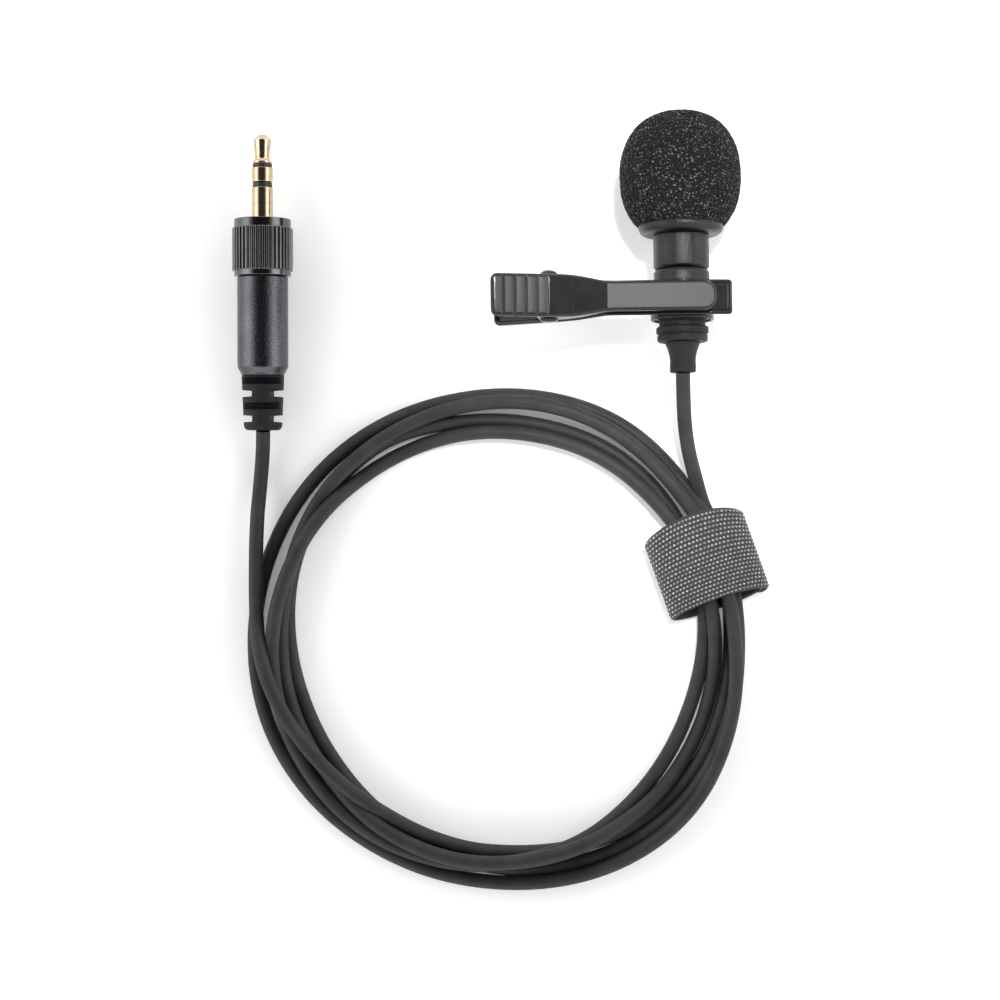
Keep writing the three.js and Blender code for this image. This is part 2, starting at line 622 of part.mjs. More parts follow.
function tipProfile() {
  const from = frontInsulatorTop + fit.seat;
  const shank = tubeOuter(jack.layers);
  const tail = jackBase - 2 * fit.meet * jack.layers;
  const shoulder = from + jack.shoulderAt;
  return [
    [0, tail], [shank, tail], [shank, from], [jack.tipFlare, from],
    [jack.tipFlare, from + jack.flareLength], [jack.tipNeck, from + jack.neckAt],
    [jack.tipRadius, shoulder], [jack.noseRadius, jackTip - jack.noseLength], [0, jackTip],
  ];
}

// The moulding that carries the jack inside the barrel's neck.
const insertFrom = jackBase - plug.insertLength;
const insertProfile = [
  [flangeRadius - 2 * jack.wall, insertFrom], [flangeRadius, insertFrom],
  [flangeRadius, jackBase - fit.seat], [flangeRadius - 2 * jack.wall, jackBase - fit.seat],
];
const retainerFrom = lockFrom + lockRing.floor + fit.slide;
const retainerProfile = [
  [plugNeckRadius + fit.seat, retainerFrom], [threadRadius - fit.slide, retainerFrom],
  [threadRadius - fit.slide, retainerFrom + lockRing.retainer],
  [plugNeckRadius + fit.seat, retainerFrom + lockRing.retainer],
];
const plugCrimpFrom = plugTail + plug.spigotLength + fit.meet;
const plugCrimpTop = plugCrimpFrom + crimp.length;

// A conductor from the cable's end to the back of the jack.
function plugWire(index) {
  const from = plugCrimpTop + 2 * fit.meet;
  const to = insertFrom - fit.meet;
  const angle = (2 * Math.PI * index) / 3;
  const at = (y, spread, turn) => [
    spread * wire.spread * Math.cos(angle + turn), y, spread * wire.spread * Math.sin(angle + turn)];
  const third = (to - from) / 3;
  const points = [
    at(from, 1, 0), at(from + third, wire.bulge, wire.twist),
    at(to - third, wire.bulge, 2 * wire.twist), at(to, wire.bulge, 3 * wire.twist),
  ];
  return tubeAlong(points, wire.radius, wire.sides, wire.steps);
}

addPiece(plugGroup, "plug_strain_relief", slottedRelief(), finish.rubber);
addPiece(plugGroup, "plug_barrel", turnedRing(plugBarrelProfile()), finish.blueBlack);
addPiece(plugGroup, "lock_ring", lockingRing(), finish.satinBlack);
addPiece(plugGroup, "lock_ring_retainer", turnedRing(retainerProfile), finish.spring);
addPiece(plugGroup, "plug_insert", turnedRing(insertProfile), finish.insulator);
addPiece(plugGroup, "jack_sleeve", turnedRing(sleeveProfile), finish.gold);
addPiece(plugGroup, "jack_ring_insulator",
  turnedRing(pole(sleeveTop, rearInsulatorTop, insulatorRadius, 1)), finish.insulator);
addPiece(plugGroup, "jack_ring",
  turnedRing(pole(rearInsulatorTop, ringTop, jack.radius, 2)), finish.gold);
addPiece(plugGroup, "jack_tip_insulator",
  turnedRing(pole(ringTop, frontInsulatorTop, insulatorRadius, 3)), finish.insulator);
addPiece(plugGroup, "jack_tip", turned(tipProfile()), finish.gold);
addPiece(plugGroup, "plug_cable_crimp",
  turnedRing(crimpProfile(plugCrimpFrom, plugCrimpTop), round.coarse),
  finish.copper);
addPiece(plugGroup, "plug_cable_end", rod(cable.radius, 0, plugCrimpTop + fit.meet), finish.jacket);
["tip", "ring", "sleeve"].forEach((name, i) => {
  addPiece(plugGroup, `plug_${name}_wire`, plugWire(i), finish.clearWire);
});

// The cable: a free lead from the microphone, the coil, and a free lead to the plug. The inner
// points are chosen by hand; each lead's first point is at its exit and its last at the coil.
const coilMiddle = tieBottom + coil.height / 2;
const micLead = [
  [micX, micExit - fit.meet, micAxis], [10.8, -24.6, 9.4], [11, -27.6, 7.9], [11.3, -30.4, 6.2],
  [11.75, -32.9, 4.9], [12.2, -35, coilMiddle],
];
const plugLead = [
  [plug.x, plug.y - fit.meet, plugExitHeight], [-59.3, -32.6, 2.8], [-59.6, -35.6, 2],
  [-59.9, -38.6, 1.9], [-60.1, -41.5, 2.7], [-60.25, -44.3, coilMiddle],
];

function coilRing() {
  const { inner, outer, height, corner } = coil;
  const profile = [
    ...cornerArc(outer - corner, tieBottom + corner, corner, -90, 0),
    ...cornerArc(outer - corner, tieBottom + height - corner, corner, 0, 90),
    ...cornerArc(inner + corner, tieBottom + height - corner, corner, 90, 180),
    ...cornerArc(inner + corner, tieBottom + corner, corner, 180, 270),
  ];
  return turnedRing(profile, coil.facets).rotateX(Math.PI / 2);
}

const leadAlong = (points) => tubeAlong(points, cable.radius, cable.sides, cable.steps);
addPiece(model, "cord_mic_lead", leadAlong(micLead), finish.jacket);
addPiece(model, "cord_plug_lead", leadAlong(plugLead), finish.jacket);
const coilGroup = new THREE.Group();
coilGroup.position.set(coil.x, coilY, 0);
model.add(coilGroup);
addPiece(coilGroup, "cord_coil", coilRing(), finish.jacket);

// The tie: a fabric strap that loops loosely round the coil, with its hooked end lying on top.
const tieGroup = new THREE.Group();
tieGroup.rotation.z = tie.turn;
coilGroup.add(tieGroup);

function tieStrap() {
  const half = (coil.outer - coil.inner) / 2 + tie.slack;
  const top = tieBottom + coil.height + fit.meet;
  const { thickness, corner } = tie;
  const rectangle = (grow) => {
    const [left, right] = [tieRadius - half - grow, tieRadius + half + grow];
    const [low, high] = [thickness - grow, top + grow];
    return [[left, low, corner], [right, low, corner], [right, high, corner], [left, high, corner]];
  };
  const loop = solidOf(sideSlab(rectangle(thickness), -tie.width / 2, tie.width / 2));
  return geometryOf(cut(loop, sideSlab(rectangle(0), -tie.width, tie.width)));
}

function tieTab() {
  const from = tieBottom + coil.height + fit.meet + tie.thickness + fit.slide;
  const middle = tieRadius + tie.tabOffset;
  const [left, right] = [middle - tie.tabLength / 2, middle + tie.tabLength / 2];
  const [half, corner] = [tie.width / 2, tie.tabCorner];
  return planSlab([
    [left, -half, corner], [right, -half, corner], [right, half, corner], [left, half, corner],
  ], from, from + tie.tabThickness);
}

addPiece(tieGroup, "cord_tie_strap", tieStrap(), finish.strap);
addPiece(tieGroup, "cord_tie_hook_tab", tieTab(), finish.strap);

export default model;
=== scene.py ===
import json
import math
import bpy
import bmesh
import numpy as np
from mathutils import Matrix, Vector

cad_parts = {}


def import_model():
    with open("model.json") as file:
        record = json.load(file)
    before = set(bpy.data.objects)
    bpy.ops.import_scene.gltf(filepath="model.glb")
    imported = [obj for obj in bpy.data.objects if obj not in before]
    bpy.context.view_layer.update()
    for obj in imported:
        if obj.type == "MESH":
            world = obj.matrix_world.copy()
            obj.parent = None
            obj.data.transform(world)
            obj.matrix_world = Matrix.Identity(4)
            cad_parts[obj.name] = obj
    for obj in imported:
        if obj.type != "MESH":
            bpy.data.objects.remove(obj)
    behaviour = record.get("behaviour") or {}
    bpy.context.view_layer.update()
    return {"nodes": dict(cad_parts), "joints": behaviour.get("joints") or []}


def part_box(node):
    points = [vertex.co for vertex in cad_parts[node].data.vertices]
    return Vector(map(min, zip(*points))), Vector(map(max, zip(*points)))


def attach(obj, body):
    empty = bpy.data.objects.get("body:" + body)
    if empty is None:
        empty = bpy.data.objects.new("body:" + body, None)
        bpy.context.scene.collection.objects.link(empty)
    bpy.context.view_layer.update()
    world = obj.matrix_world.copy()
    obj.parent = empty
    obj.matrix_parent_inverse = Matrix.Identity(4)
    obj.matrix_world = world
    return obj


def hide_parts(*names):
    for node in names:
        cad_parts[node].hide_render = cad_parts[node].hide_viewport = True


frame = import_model()
scene = bpy.context.scene
mm = 0.001
tau = 2 * math.pi
print("frame loaded:", len(frame["nodes"]), "nodes")


# The two axes that everything turned stands on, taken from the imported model.
def boxMiddle(node):
    low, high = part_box(node)
    return np.array((low + high) / 2)


micMiddle = boxMiddle("mic_cable_end")
micFrame = {"origin": np.array([micMiddle[0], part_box("mic_cable_end")[0].y, micMiddle[2]]),
            "axis": np.array([0.0, 1.0, 0.0])}

ringJoint = next(j for j in frame["joints"] if j["name"] == "locking_ring_spin")
plugAxis = np.array(ringJoint["axis"], float)
plugAxis /= np.linalg.norm(plugAxis)
plugCableEnd = 14.55 * mm  # how much of the cable is inside the plug
plugFrame = {"origin": boxMiddle("plug_cable_end") - plugAxis * plugCableEnd / 2, "axis": plugAxis}


# Node helpers. Sockets go by name: another node's output is linked, anything else is set.
def setSockets(tree, node, sockets):
    for name, value in sockets.items():
        if isinstance(value, bpy.types.NodeSocket):
            tree.links.new(value, node.inputs[name])
        else:
            node.inputs[name].default_value = value
    return node


def addNode(tree, kind, sockets, **settings):
    node = tree.nodes.new("ShaderNode" + kind)
    for key, value in settings.items():
        setattr(node, key, value)
    return setSockets(tree, node, sockets)


def linkObject(name, data):
    thing = bpy.data.objects.new(name, data)
    scene.collection.objects.link(thing)
    return thing


# Camera, floor and light. The camera stands at an offset from its target.
view = {
    "target": (-0.01961, -0.04193, 0.0),
    "stand": (-0.00012, -0.0100, 0.330),
    "up": (0.0122, 0.9999, 0.0),
    "lens": 70.2, "sensor": 36, "clip": (0.01, 10),
}


def addCamera():
    data = bpy.data.cameras.new("tableCamera")
    data.lens, data.sensor_width = view["lens"], view["sensor"]
    data.clip_start, data.clip_end = view["clip"]
    camera = linkObject("tableCamera", data)
    back = Vector(view["stand"]).normalized()
    up = Vector(view["up"])
    up = (up - back * up.dot(back)).normalized()
    turn = Matrix((up.cross(back), up, back)).transposed()
    camera.matrix_world = Matrix.Translation(Vector(view["target"]) + Vector(view["stand"])) @ turn.to_4x4()
    scene.camera = camera


# size is width and height, aim is the point the light faces, spread in degrees
strip = {"aim": (-0.02, -0.03, 0.0), "size": (0.09, 0.4), "power": 0.16, "spread": 180}
lights = {
    "softboxAbove": {"at": (0.028, 0.080, 0.395), "aim": (0.004, -0.012, 0.012), "size": (0.046, 0.12),
                     "power": 0.019, "spread": 9},
    "stripRight": {"at": (0.30, -0.03, 0.12), **strip},
    "stripLeft": {"at": (-0.34, -0.03, 0.12), **strip},
}
# the room's brightness by direction, from level, 0, to straight up, 1
dome = {"strength": 2.3, "stops": [(0.0, 0.50), (0.20, 0.90), (0.35, 1.0), (0.58, 1.0), (0.74, 0.22), (0.86, 0.02)]}
floorPlan = {"half": 1.2, "colour": (0.93, 0.93, 0.93), "roughness": 0.9, "glow": 0.16}


def addLights():
    for name, light in lights.items():
        data = bpy.data.lights.new(name, "AREA")
        data.shape = "RECTANGLE"
        data.size, data.size_y = light["size"]
        data.energy = light["power"]
        data.spread = math.radians(light["spread"])
        lamp = linkObject(name, data)
        lamp.location = light["at"]
        lamp.rotation_euler = (Vector(light["aim"]) - Vector(light["at"])).to_track_quat("-Z", "Y").to_euler()
    world = bpy.data.worlds.new("paleRoom")
    world.use_nodes = True
    tree = world.node_tree
    parts = addNode(tree, "SeparateXYZ", {"Vector": addNode(tree, "TexCoord", {}).outputs["Generated"]})
    ramp = addNode(tree, "ValToRGB", {"Fac": parts.outputs["Z"]})
    setSockets(tree, tree.nodes["Background"], {"Strength": dome["strength"], "Color": ramp.outputs["Color"]})
    stops = ramp.color_ramp.elements
    while len(stops) < len(dome["stops"]):
        stops.new(0.5)
    for stop, (where, bright) in zip(stops, dome["stops"]):
        stop.position = where
        stop.color = (bright, bright, bright, 1)
    scene.world = world
    scene.view_settings.view_transform = "Standard"


def addFloor():
    half = floorPlan["half"]
    mesh = bpy.data.meshes.new("paleFloor")
    mesh.from_pydata([(-half, -half, 0), (half, -half, 0), (half, half, 0), (-half, half, 0)], [], [(0, 1, 2, 3)])
    floor = linkObject("paleFloor", mesh)
    paint = newMaterial("paleBoard", floorPlan["colour"], floorPlan["roughness"],
                        {"Emission Color": (1, 1, 1, 1), "Emission Strength": floorPlan["glow"]})[0]
    floor.data.materials.append(paint)


# Materials.
def newMaterial(name, colour, roughness, sockets={}):
    material = bpy.data.materials.new(name)
    material.use_nodes = True
    tree = material.node_tree
    shader = setSockets(tree, tree.nodes["Principled BSDF"],
                        {"Base Color": (*colour, 1), "Roughness": roughness, **sockets})
    return material, tree, shader


def coordinates(tree, stretch=(1, 1, 1)):
    where = addNode(tree, "TexCoord", {}).outputs["Object"]
    return addNode(tree, "Mapping", {"Scale": stretch, "Vector": where}).outputs["Vector"]


def noise(tree, where, scale, detail):
    sockets = {"Scale": scale, "Detail": detail, "Roughness": 0.55, "Vector": where}
    return addNode(tree, "TexNoise", sockets).outputs["Fac"]


def cells(tree, where, scale, output="Distance", feature="F1"):
    return addNode(tree, "TexVoronoi", {"Scale": scale, "Vector": where}, feature=feature).outputs[output]


def between(tree, value, low, high, toLow, toHigh):
    sockets = {"From Min": low, "From Max": high, "To Min": toLow, "To Max": toHigh, "Value": value}
    return addNode(tree, "MapRange", sockets).outputs["Result"]


# A mix of two colours; the one underneath may be another node's output.
def tint(tree, factor, under, over):
    if not isinstance(under, bpy.types.NodeSocket):
        under = (*under, 1)
    return addNode(tree, "Mix", {"A": under, "B": (*over, 1), "Factor": factor}, data_type="RGBA").outputs["Result"]


def bump(tree, height, distance):
    sockets = {"Strength": 1.0, "Distance": distance * mm, "Height": height}
    return addNode(tree, "Bump", sockets).outputs["Normal"]


def attribute(tree, name, output):
    return addNode(tree, "Attribute", {}, attribute_name=name).outputs[output]


def calculated(tree, operation, first, second):
    node = addNode(tree, "Math", {}, operation=operation)
    tree.links.new(first, node.inputs[0])
    tree.links.new(second, node.inputs[1])
    return node.outputs[0]


# A slow stain in the colour, and a fine grain in the roughness and the surface.
def grainedFinish(name, colour, worn, roughness, metallic, grain, depth, sockets={}, spread=0.1, stretch=(1, 1, 1)):
    material, tree, shader = newMaterial(name, colour, roughness, {"Metallic": metallic, **sockets})
    where = coordinates(tree, stretch)
    stain, fine = noise(tree, where, 210, 4), noise(tree, where, grain, 2)
    setSockets(tree, shader, {
        "Base Color": tint(tree, between(tree, stain, 0.35, 0.7, 0, 1), colour, worn),
        "Roughness": between(tree, fine, 0.3, 0.7, roughness - spread, roughness + spread),
        "Normal": bump(tree, fine, depth),
    })
    return material


# Open cells with a rib along each cell's border, the cells' hollows painted darker than the ribs as painted shade, and
# a few bright dots that are painted glints; scales are cells to a metre.
foamLook = {"cells": 2300, "glintCells": 5200, "patches": 320, "deepHollowShade": (0.003, 0.003, 0.0034),
            "hollowShade": (0.007, 0.007, 0.0075), "rib": (0.020, 0.020, 0.021), "paintedGlint": (0.17, 0.17, 0.175), "depth": 0.22}


def foamFinish():
    look = foamLook
    material, tree, shader = newMaterial("openCellFoam", (0.013, 0.013, 0.014), 0.9, {"Specular IOR Level": 0.1})
    where = coordinates(tree)
    strut = cells(tree, where, look["cells"], feature="DISTANCE_TO_EDGE")
    patch = noise(tree, where, look["patches"], 3)
    lot = cells(tree, where, look["glintCells"], output="Color")
    glint = addNode(tree, "SeparateColor", {"Color": lot}).outputs
    # painted shade: the cells' hollows are darker than their ribs; the bright dots mixed in below are painted glints
    hollowShade = tint(tree, between(tree, patch, 0.3, 0.7, 0, 1), look["deepHollowShade"], look["hollowShade"])
    rib = tint(tree, between(tree, strut, 0.0, 0.12, 0.75, 0), hollowShade, look["rib"])
    setSockets(tree, shader, {
        "Base Color": tint(tree, between(tree, glint["Red"], 0.90, 1.0, 0, 1), rib, look["paintedGlint"]),
        "Roughness": between(tree, glint["Green"], 0.2, 0.9, 0.95, 0.45),
        "Normal": bump(tree, cells(tree, where, look["cells"]), look["depth"]),
    })
    return material


# The attribute knit holds the column's rise, the loop's rise and a random share for each loop. The shader paints the
# raised loops as painted highlights, and the low ground between the columns and along the strap's side edges as
# painted shade.
strapLook = {"gapShade": (0.007, 0.007, 0.008), "yarn": (0.036, 0.036, 0.038), "loop": (0.58, 0.58, 0.59),
             "fuzz": (0.14, 0.14, 0.15), "fuzzScale": 6500, "depth": 0.05}


def strapFinish():
    look = strapLook
    material, tree, shader = newMaterial("knitStrap", (0.05, 0.05, 0.053), 0.62, {
        "Sheen Weight": 0.22, "Sheen Roughness": 0.4, "Sheen Tint": (0.9, 0.92, 0.95, 1)})
    knit = addNode(tree, "SeparateXYZ", {"Vector": attribute(tree, "knit", "Vector")}).outputs
    fuzz = noise(tree, coordinates(tree), look["fuzzScale"], 3)
    loopHighlightShare = calculated(tree, "MULTIPLY", between(tree, knit["Y"], 0.30, 0.75, 0, 1),
                        between(tree, knit["Z"], 0.0, 1.0, 0.30, 1.0))
    # painted shade between the knit columns and at the side edges, painted highlights on the raised loops
    yarn = tint(tree, between(tree, knit["X"], 0.25, 0.95, 0, 1), look["gapShade"], look["yarn"])
    litLoops = tint(tree, loopHighlightShare, yarn, look["loop"])
    setSockets(tree, shader, {
        "Base Color": tint(tree, between(tree, fuzz, 0.56, 0.72, 0, 0.5), litLoops, look["fuzz"]),
        "Roughness": between(tree, fuzz, 0.3, 0.7, 0.5, 0.75),
        "Normal": bump(tree, fuzz, look["depth"]),
    })
    return material


# The attribute satin is the share of the duller paint on the clip's level faces; its paler colour there is a painted
# sheen for the light reflected from above.
paintLook = {"base": (0.011, 0.011, 0.012), "stain": (0.019, 0.019, 0.020), "satinAndPaintedSheen": (0.050, 0.050, 0.052),
             "roughness": (0.20, 0.50), "waver": 0.05, "depth": 0.012}


def ridgedPaint():
    look = paintLook
    material, tree, shader = newMaterial("clipPaint", (0.010, 0.010, 0.011), 0.3, {"Specular IOR Level": 0.3})
    where = coordinates(tree)
    fine, stain = noise(tree, where, 3400, 2), noise(tree, where, 260, 4)
    satinAndPaintedSheen = attribute(tree, "satinAndPaintedSheen", "Fac")
    base = tint(tree, between(tree, stain, 0.3, 0.75, 0, 1), look["base"], look["stain"])
    grain = between(tree, fine, 0.3, 0.7, -look["waver"], look["waver"])
    # the level faces' paler colour is a painted sheen; their higher roughness is the paint's own
    setSockets(tree, shader, {
        "Base Color": tint(tree, satinAndPaintedSheen, base, look["satinAndPaintedSheen"]),
        "Roughness": calculated(tree, "ADD", grain, between(tree, satinAndPaintedSheen, 0, 1, *look["roughness"])),
        "Normal": bump(tree, fine, look["depth"]),
    })
    return material


# name, colour, worn colour, roughness, metallic, grains to a metre, their depth in millimetres, and then other
# sockets, how far the roughness wavers, and how the grain is stretched
specular = "Specular IOR Level"
grained = {
    "satinBlack": ("satinBlack", (0.034, 0.034, 0.036), (0.044, 0.044, 0.046), 0.38, 1, 5200, 0.07),
    "rubber": ("mouldedRubber", (0.006, 0.006, 0.007), (0.012, 0.012, 0.013), 0.60, 0, 3600, 0.09, {specular: 0.25}),
    "plugShell": ("plugShell", (0.078, 0.077, 0.089), (0.100, 0.099, 0.113), 0.28, 1, 4300, 0.05),
    "ringBlack": ("ringBlack", (0.105, 0.105, 0.107), (0.140, 0.140, 0.142), 0.16, 1, 3800, 0.004, {}, 0.03),
    "gold": ("paleGold", (0.63, 0.49, 0.33), (0.53, 0.40, 0.26), 0.14, 1, 900, 0.003, {}, 0.05, (0.15, 6, 0.15)),
    "insulator": ("insulatorBlack", (0.010, 0.010, 0.010), (0.02, 0.02, 0.02), 0.4, 0, 3000, 0.01),
    "jacket": ("cableJacket", (0.024, 0.024, 0.025), (0.036, 0.036, 0.037), 0.54, 0, 2400, 0.02, {specular: 0.2}),
    "spring": ("springSteel", (0.42, 0.42, 0.43), (0.30, 0.30, 0.31), 0.3, 1, 3000, 0.006),
    "board": ("circuitBoard", (0.02, 0.10, 0.04), (0.03, 0.14, 0.06), 0.5, 0, 1500, 0.02),
    "copper": ("crimpCopper", (0.50, 0.26, 0.14), (0.38, 0.18, 0.09), 0.35, 1, 2500, 0.01),
    "redWire": ("redWire", (0.35, 0.03, 0.02), (0.27, 0.02, 0.02), 0.5, 0, 2500, 0.01),
    "clearWire": ("paleWire", (0.62, 0.60, 0.55), (0.50, 0.48, 0.43), 0.5, 0, 2500, 0.01),
}
finishes = {"foam": foamFinish(), "paint": ridgedPaint(), "strap": strapFinish()}
finishes.update({key: grainedFinish(*row) for key, row in grained.items()})
print("finishes ready:", len(finishes))


# Meshes. Each row of an array of vectors at length one.
def unit(rows):
    return rows / np.linalg.norm(rows, axis=1)[:, None]


# How far along a line of points each point is.
def runAlong(points):
    return np.concatenate([[0], np.cumsum(np.linalg.norm(np.diff(points, axis=0), axis=1))])


def clamped(share):
    return np.clip(share, 0, 1)


def eased(share):
    return share * share * (3 - 2 * share)


# Quads that join neighbours in a grid. Each row closes on itself; with wrapRows the last row joins the first.
def gridFaces(rows, columns, wrapRows):
    i = np.arange(rows if wrapRows else rows - 1)[:, None]
    j = np.arange(columns)[None, :]
    iNext, jNext = (i + 1) % rows, (j + 1) % columns
    corners = [i * columns + j, i * columns + jNext, iNext * columns + jNext, iNext * columns + j]
    return np.stack([np.broadcast_to(c, (i.size, j.size)) for c in corners], -1).reshape(-1, 4)


# One object from grids of points in metres. Points that meet are merged, which closes poles and seams.
def addPiece(name, grids, finish, body, stands, attributes={}):
    points, faces, start = [], [], 0
    for grid in grids:
        p = np.asarray(grid["points"], float)
        rows, columns = p.shape[:2]
        faces.append(gridFaces(rows, columns, grid.get("wrapRows", False)) + start)
        points.append(p.reshape(-1, 3))
        start += rows * columns
    points, faces = np.concatenate(points), np.concatenate(faces)
    mesh = bpy.data.meshes.new(name)
    mesh.vertices.add(len(points))
    mesh.vertices.foreach_set("co", points.astype(np.float32).ravel())
    mesh.loops.add(faces.size)
    mesh.loops.foreach_set("vertex_index", faces.astype(np.int32).ravel())
    mesh.polygons.add(len(faces))
    mesh.polygons.foreach_set("loop_start", np.arange(0, faces.size, 4, dtype=np.int32))
    mesh.polygons.foreach_set("loop_total", np.full(len(faces), 4, np.int32))
    mesh.update(calc_edges=True)
    for key, values in attributes.items():
        values = np.asarray(values, np.float32)
        kind, field = ("FLOAT", "value") if values.ndim == 1 else ("FLOAT_VECTOR", "vector")
        mesh.attributes.new(key, kind, "POINT").data.foreach_set(field, values.ravel())
    work = bmesh.new()
    work.from_mesh(mesh)
    bmesh.ops.remove_doubles(work, verts=work.verts, dist=2e-7)
    bmesh.ops.dissolve_degenerate(work, edges=work.edges, dist=1e-8)
    bmesh.ops.recalc_face_normals(work, faces=work.faces)
    work.to_mesh(mesh)
    work.free()
    mesh.validate()
    mesh.polygons.foreach_set("use_smooth", np.ones(len(mesh.polygons), bool))
    piece = linkObject(name, mesh)
    mesh.materials.append(finishes[finish])
    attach(piece, body)
    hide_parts(*stands)
    return piece


# A curve from one edge of a corner to the next, by the vectors from the corner to the curve's two ends.
def roundedCorner(here, toFirst, toLast, steps):
    return [here + toFirst * (1 - t) ** 2 + toLast * t ** 2 for t in np.linspace(0, 1, steps)]


# A closed chain of [radius, height] corners, rounded off the axis, with a point just outside each curve on both
# edges so that flat faces stay flat.
def softened(corners, rounding, edgeShare=0.42, guard=1.18):
    corners = np.asarray(corners, float)
    out = []
    for i, here in enumerate(corners):
        before, after = corners[i - 1] - here, corners[(i + 1) % len(corners)] - here
        if here[0] < 1e-6:
            out.append(here)
            continue
        lengths = np.linalg.norm(before), np.linalg.norm(after)
        reach = min(rounding, edgeShare * lengths[0], edgeShare * lengths[1])
        first, last = before / lengths[0] * reach, after / lengths[1] * reach
        out.extend([here + first * guard, *roundedCorner(here, first, last, 5), here + last * guard])
    return np.array(out)


# Extra points along a chain wherever two neighbours are further apart than step.
def filled(chain, step, closed=True):
    following = np.roll(chain, -1, 0) if closed else chain[1:]
    out = []
    for a, b in zip(chain, following):
        count = max(1, int(math.ceil(np.linalg.norm(b - a) / step)))
        out.extend(a + (b - a) * t for t in np.arange(count) / count)
    if not closed:
        out.append(chain[-1])
    return np.array(out)


# A chain of r from an axis and h along it, turned about the axis; radiusAt may change r.
def turned(chain, where, segments=128, radiusAt=None, closed=True):
    angle = np.linspace(0, tau, segments, endpoint=False)[None, :]
    r = np.repeat(chain[:, :1], segments, 1)
    h = np.repeat(chain[:, 1:2], segments, 1)
    if radiusAt is not None:
        r = radiusAt(r, h, angle)
    points = placed(r * np.cos(angle), h, r * np.sin(angle), where)
    return {"points": points, "wrapRows": closed}


# Local x, height and z in millimetres to the row frame: height runs along the axis, x stays level.
def placed(x, h, z, where):
    axis = where["axis"]
    side = np.cross(axis, (0, 0, 1.0))
    side /= np.linalg.norm(side)
    up = np.cross(side, axis)
    return where["origin"] + mm * (x[..., None] * side + h[..., None] * axis + z[..., None] * up)


def arc(x, z, radius, first, last, steps):
    angle = np.radians(np.linspace(first, last, steps))
    return np.stack([x + radius * np.cos(angle), z + radius * np.sin(angle)], -1)


# Distances to the nearest and the next of points scattered one to a cell, in cells.
def cellDistance(points, size, seed):
    grid = points / size
    base = np.floor(grid).astype(np.int64)
    nearest = np.full(len(points), 9.0)
    second = np.full(len(points), 9.0)
    for step in np.ndindex(3, 3, 3):
        cell = base + np.array(step) - 1
        mixed = (cell[:, 0] * 73856093) ^ (cell[:, 1] * 19349663) ^ (cell[:, 2] * 83492791) ^ (seed * 2654435761)
        scatter = np.stack([((mixed * k) % 9973) / 9973.0 for k in (7919, 104729, 1299709)], -1)
        d = np.linalg.norm(grid - cell - scatter, axis=1)
        second = np.where(d < nearest, nearest, np.minimum(second, d))
        nearest = np.minimum(nearest, d)
    return nearest, second


addCamera()
addLights()
addFloor()


# The cable. Its free ends repeat the route's points, in metres. A turn of the coil is its distance from the middle
# line at every twentieth degree from 40 to 380, in cable diameters, and how high it lies in the pile.
cable = {
    "diameter": 0.0024,
    "length": 1.16,
    "endReach": 0.00028,  # how far each end goes on into its sleeve
    "micLead": [(0.01075, -0.0219, 0.0100), (0.0108, -0.0246, 0.0094), (0.0110, -0.0276, 0.0079),
                (0.0113, -0.0304, 0.0062), (0.01175, -0.0329, 0.0049), (0.0122, -0.0350, 0.00395)],
    "plugLead": [(-0.05917, -0.03017, 0.003716), (-0.0593, -0.0326, 0.0028), (-0.0596, -0.0356, 0.0020),
                 (-0.0599, -0.0386, 0.0019), (-0.0601, -0.0415, 0.0027), (-0.06025, -0.0443, 0.00395)],
    "middleFromOutside": 2.142,  # diameters from the coil's outer edge in to its middle line
    "turnBack": -0.7,  # degrees
    "smooth": 6.0, "smoothHeight": 4.0,  # degrees over which a turn's course and height are evened out
    "overTie": 16.0, "inTie": 14.0, "settle": 12.0,  # degrees either side of the tie, and from the plug's lead
    "ceiling": 0.005, "samePile": 0.3,
    "step": 0.0007, "blur": 0.0013,  # of the points along the path
}
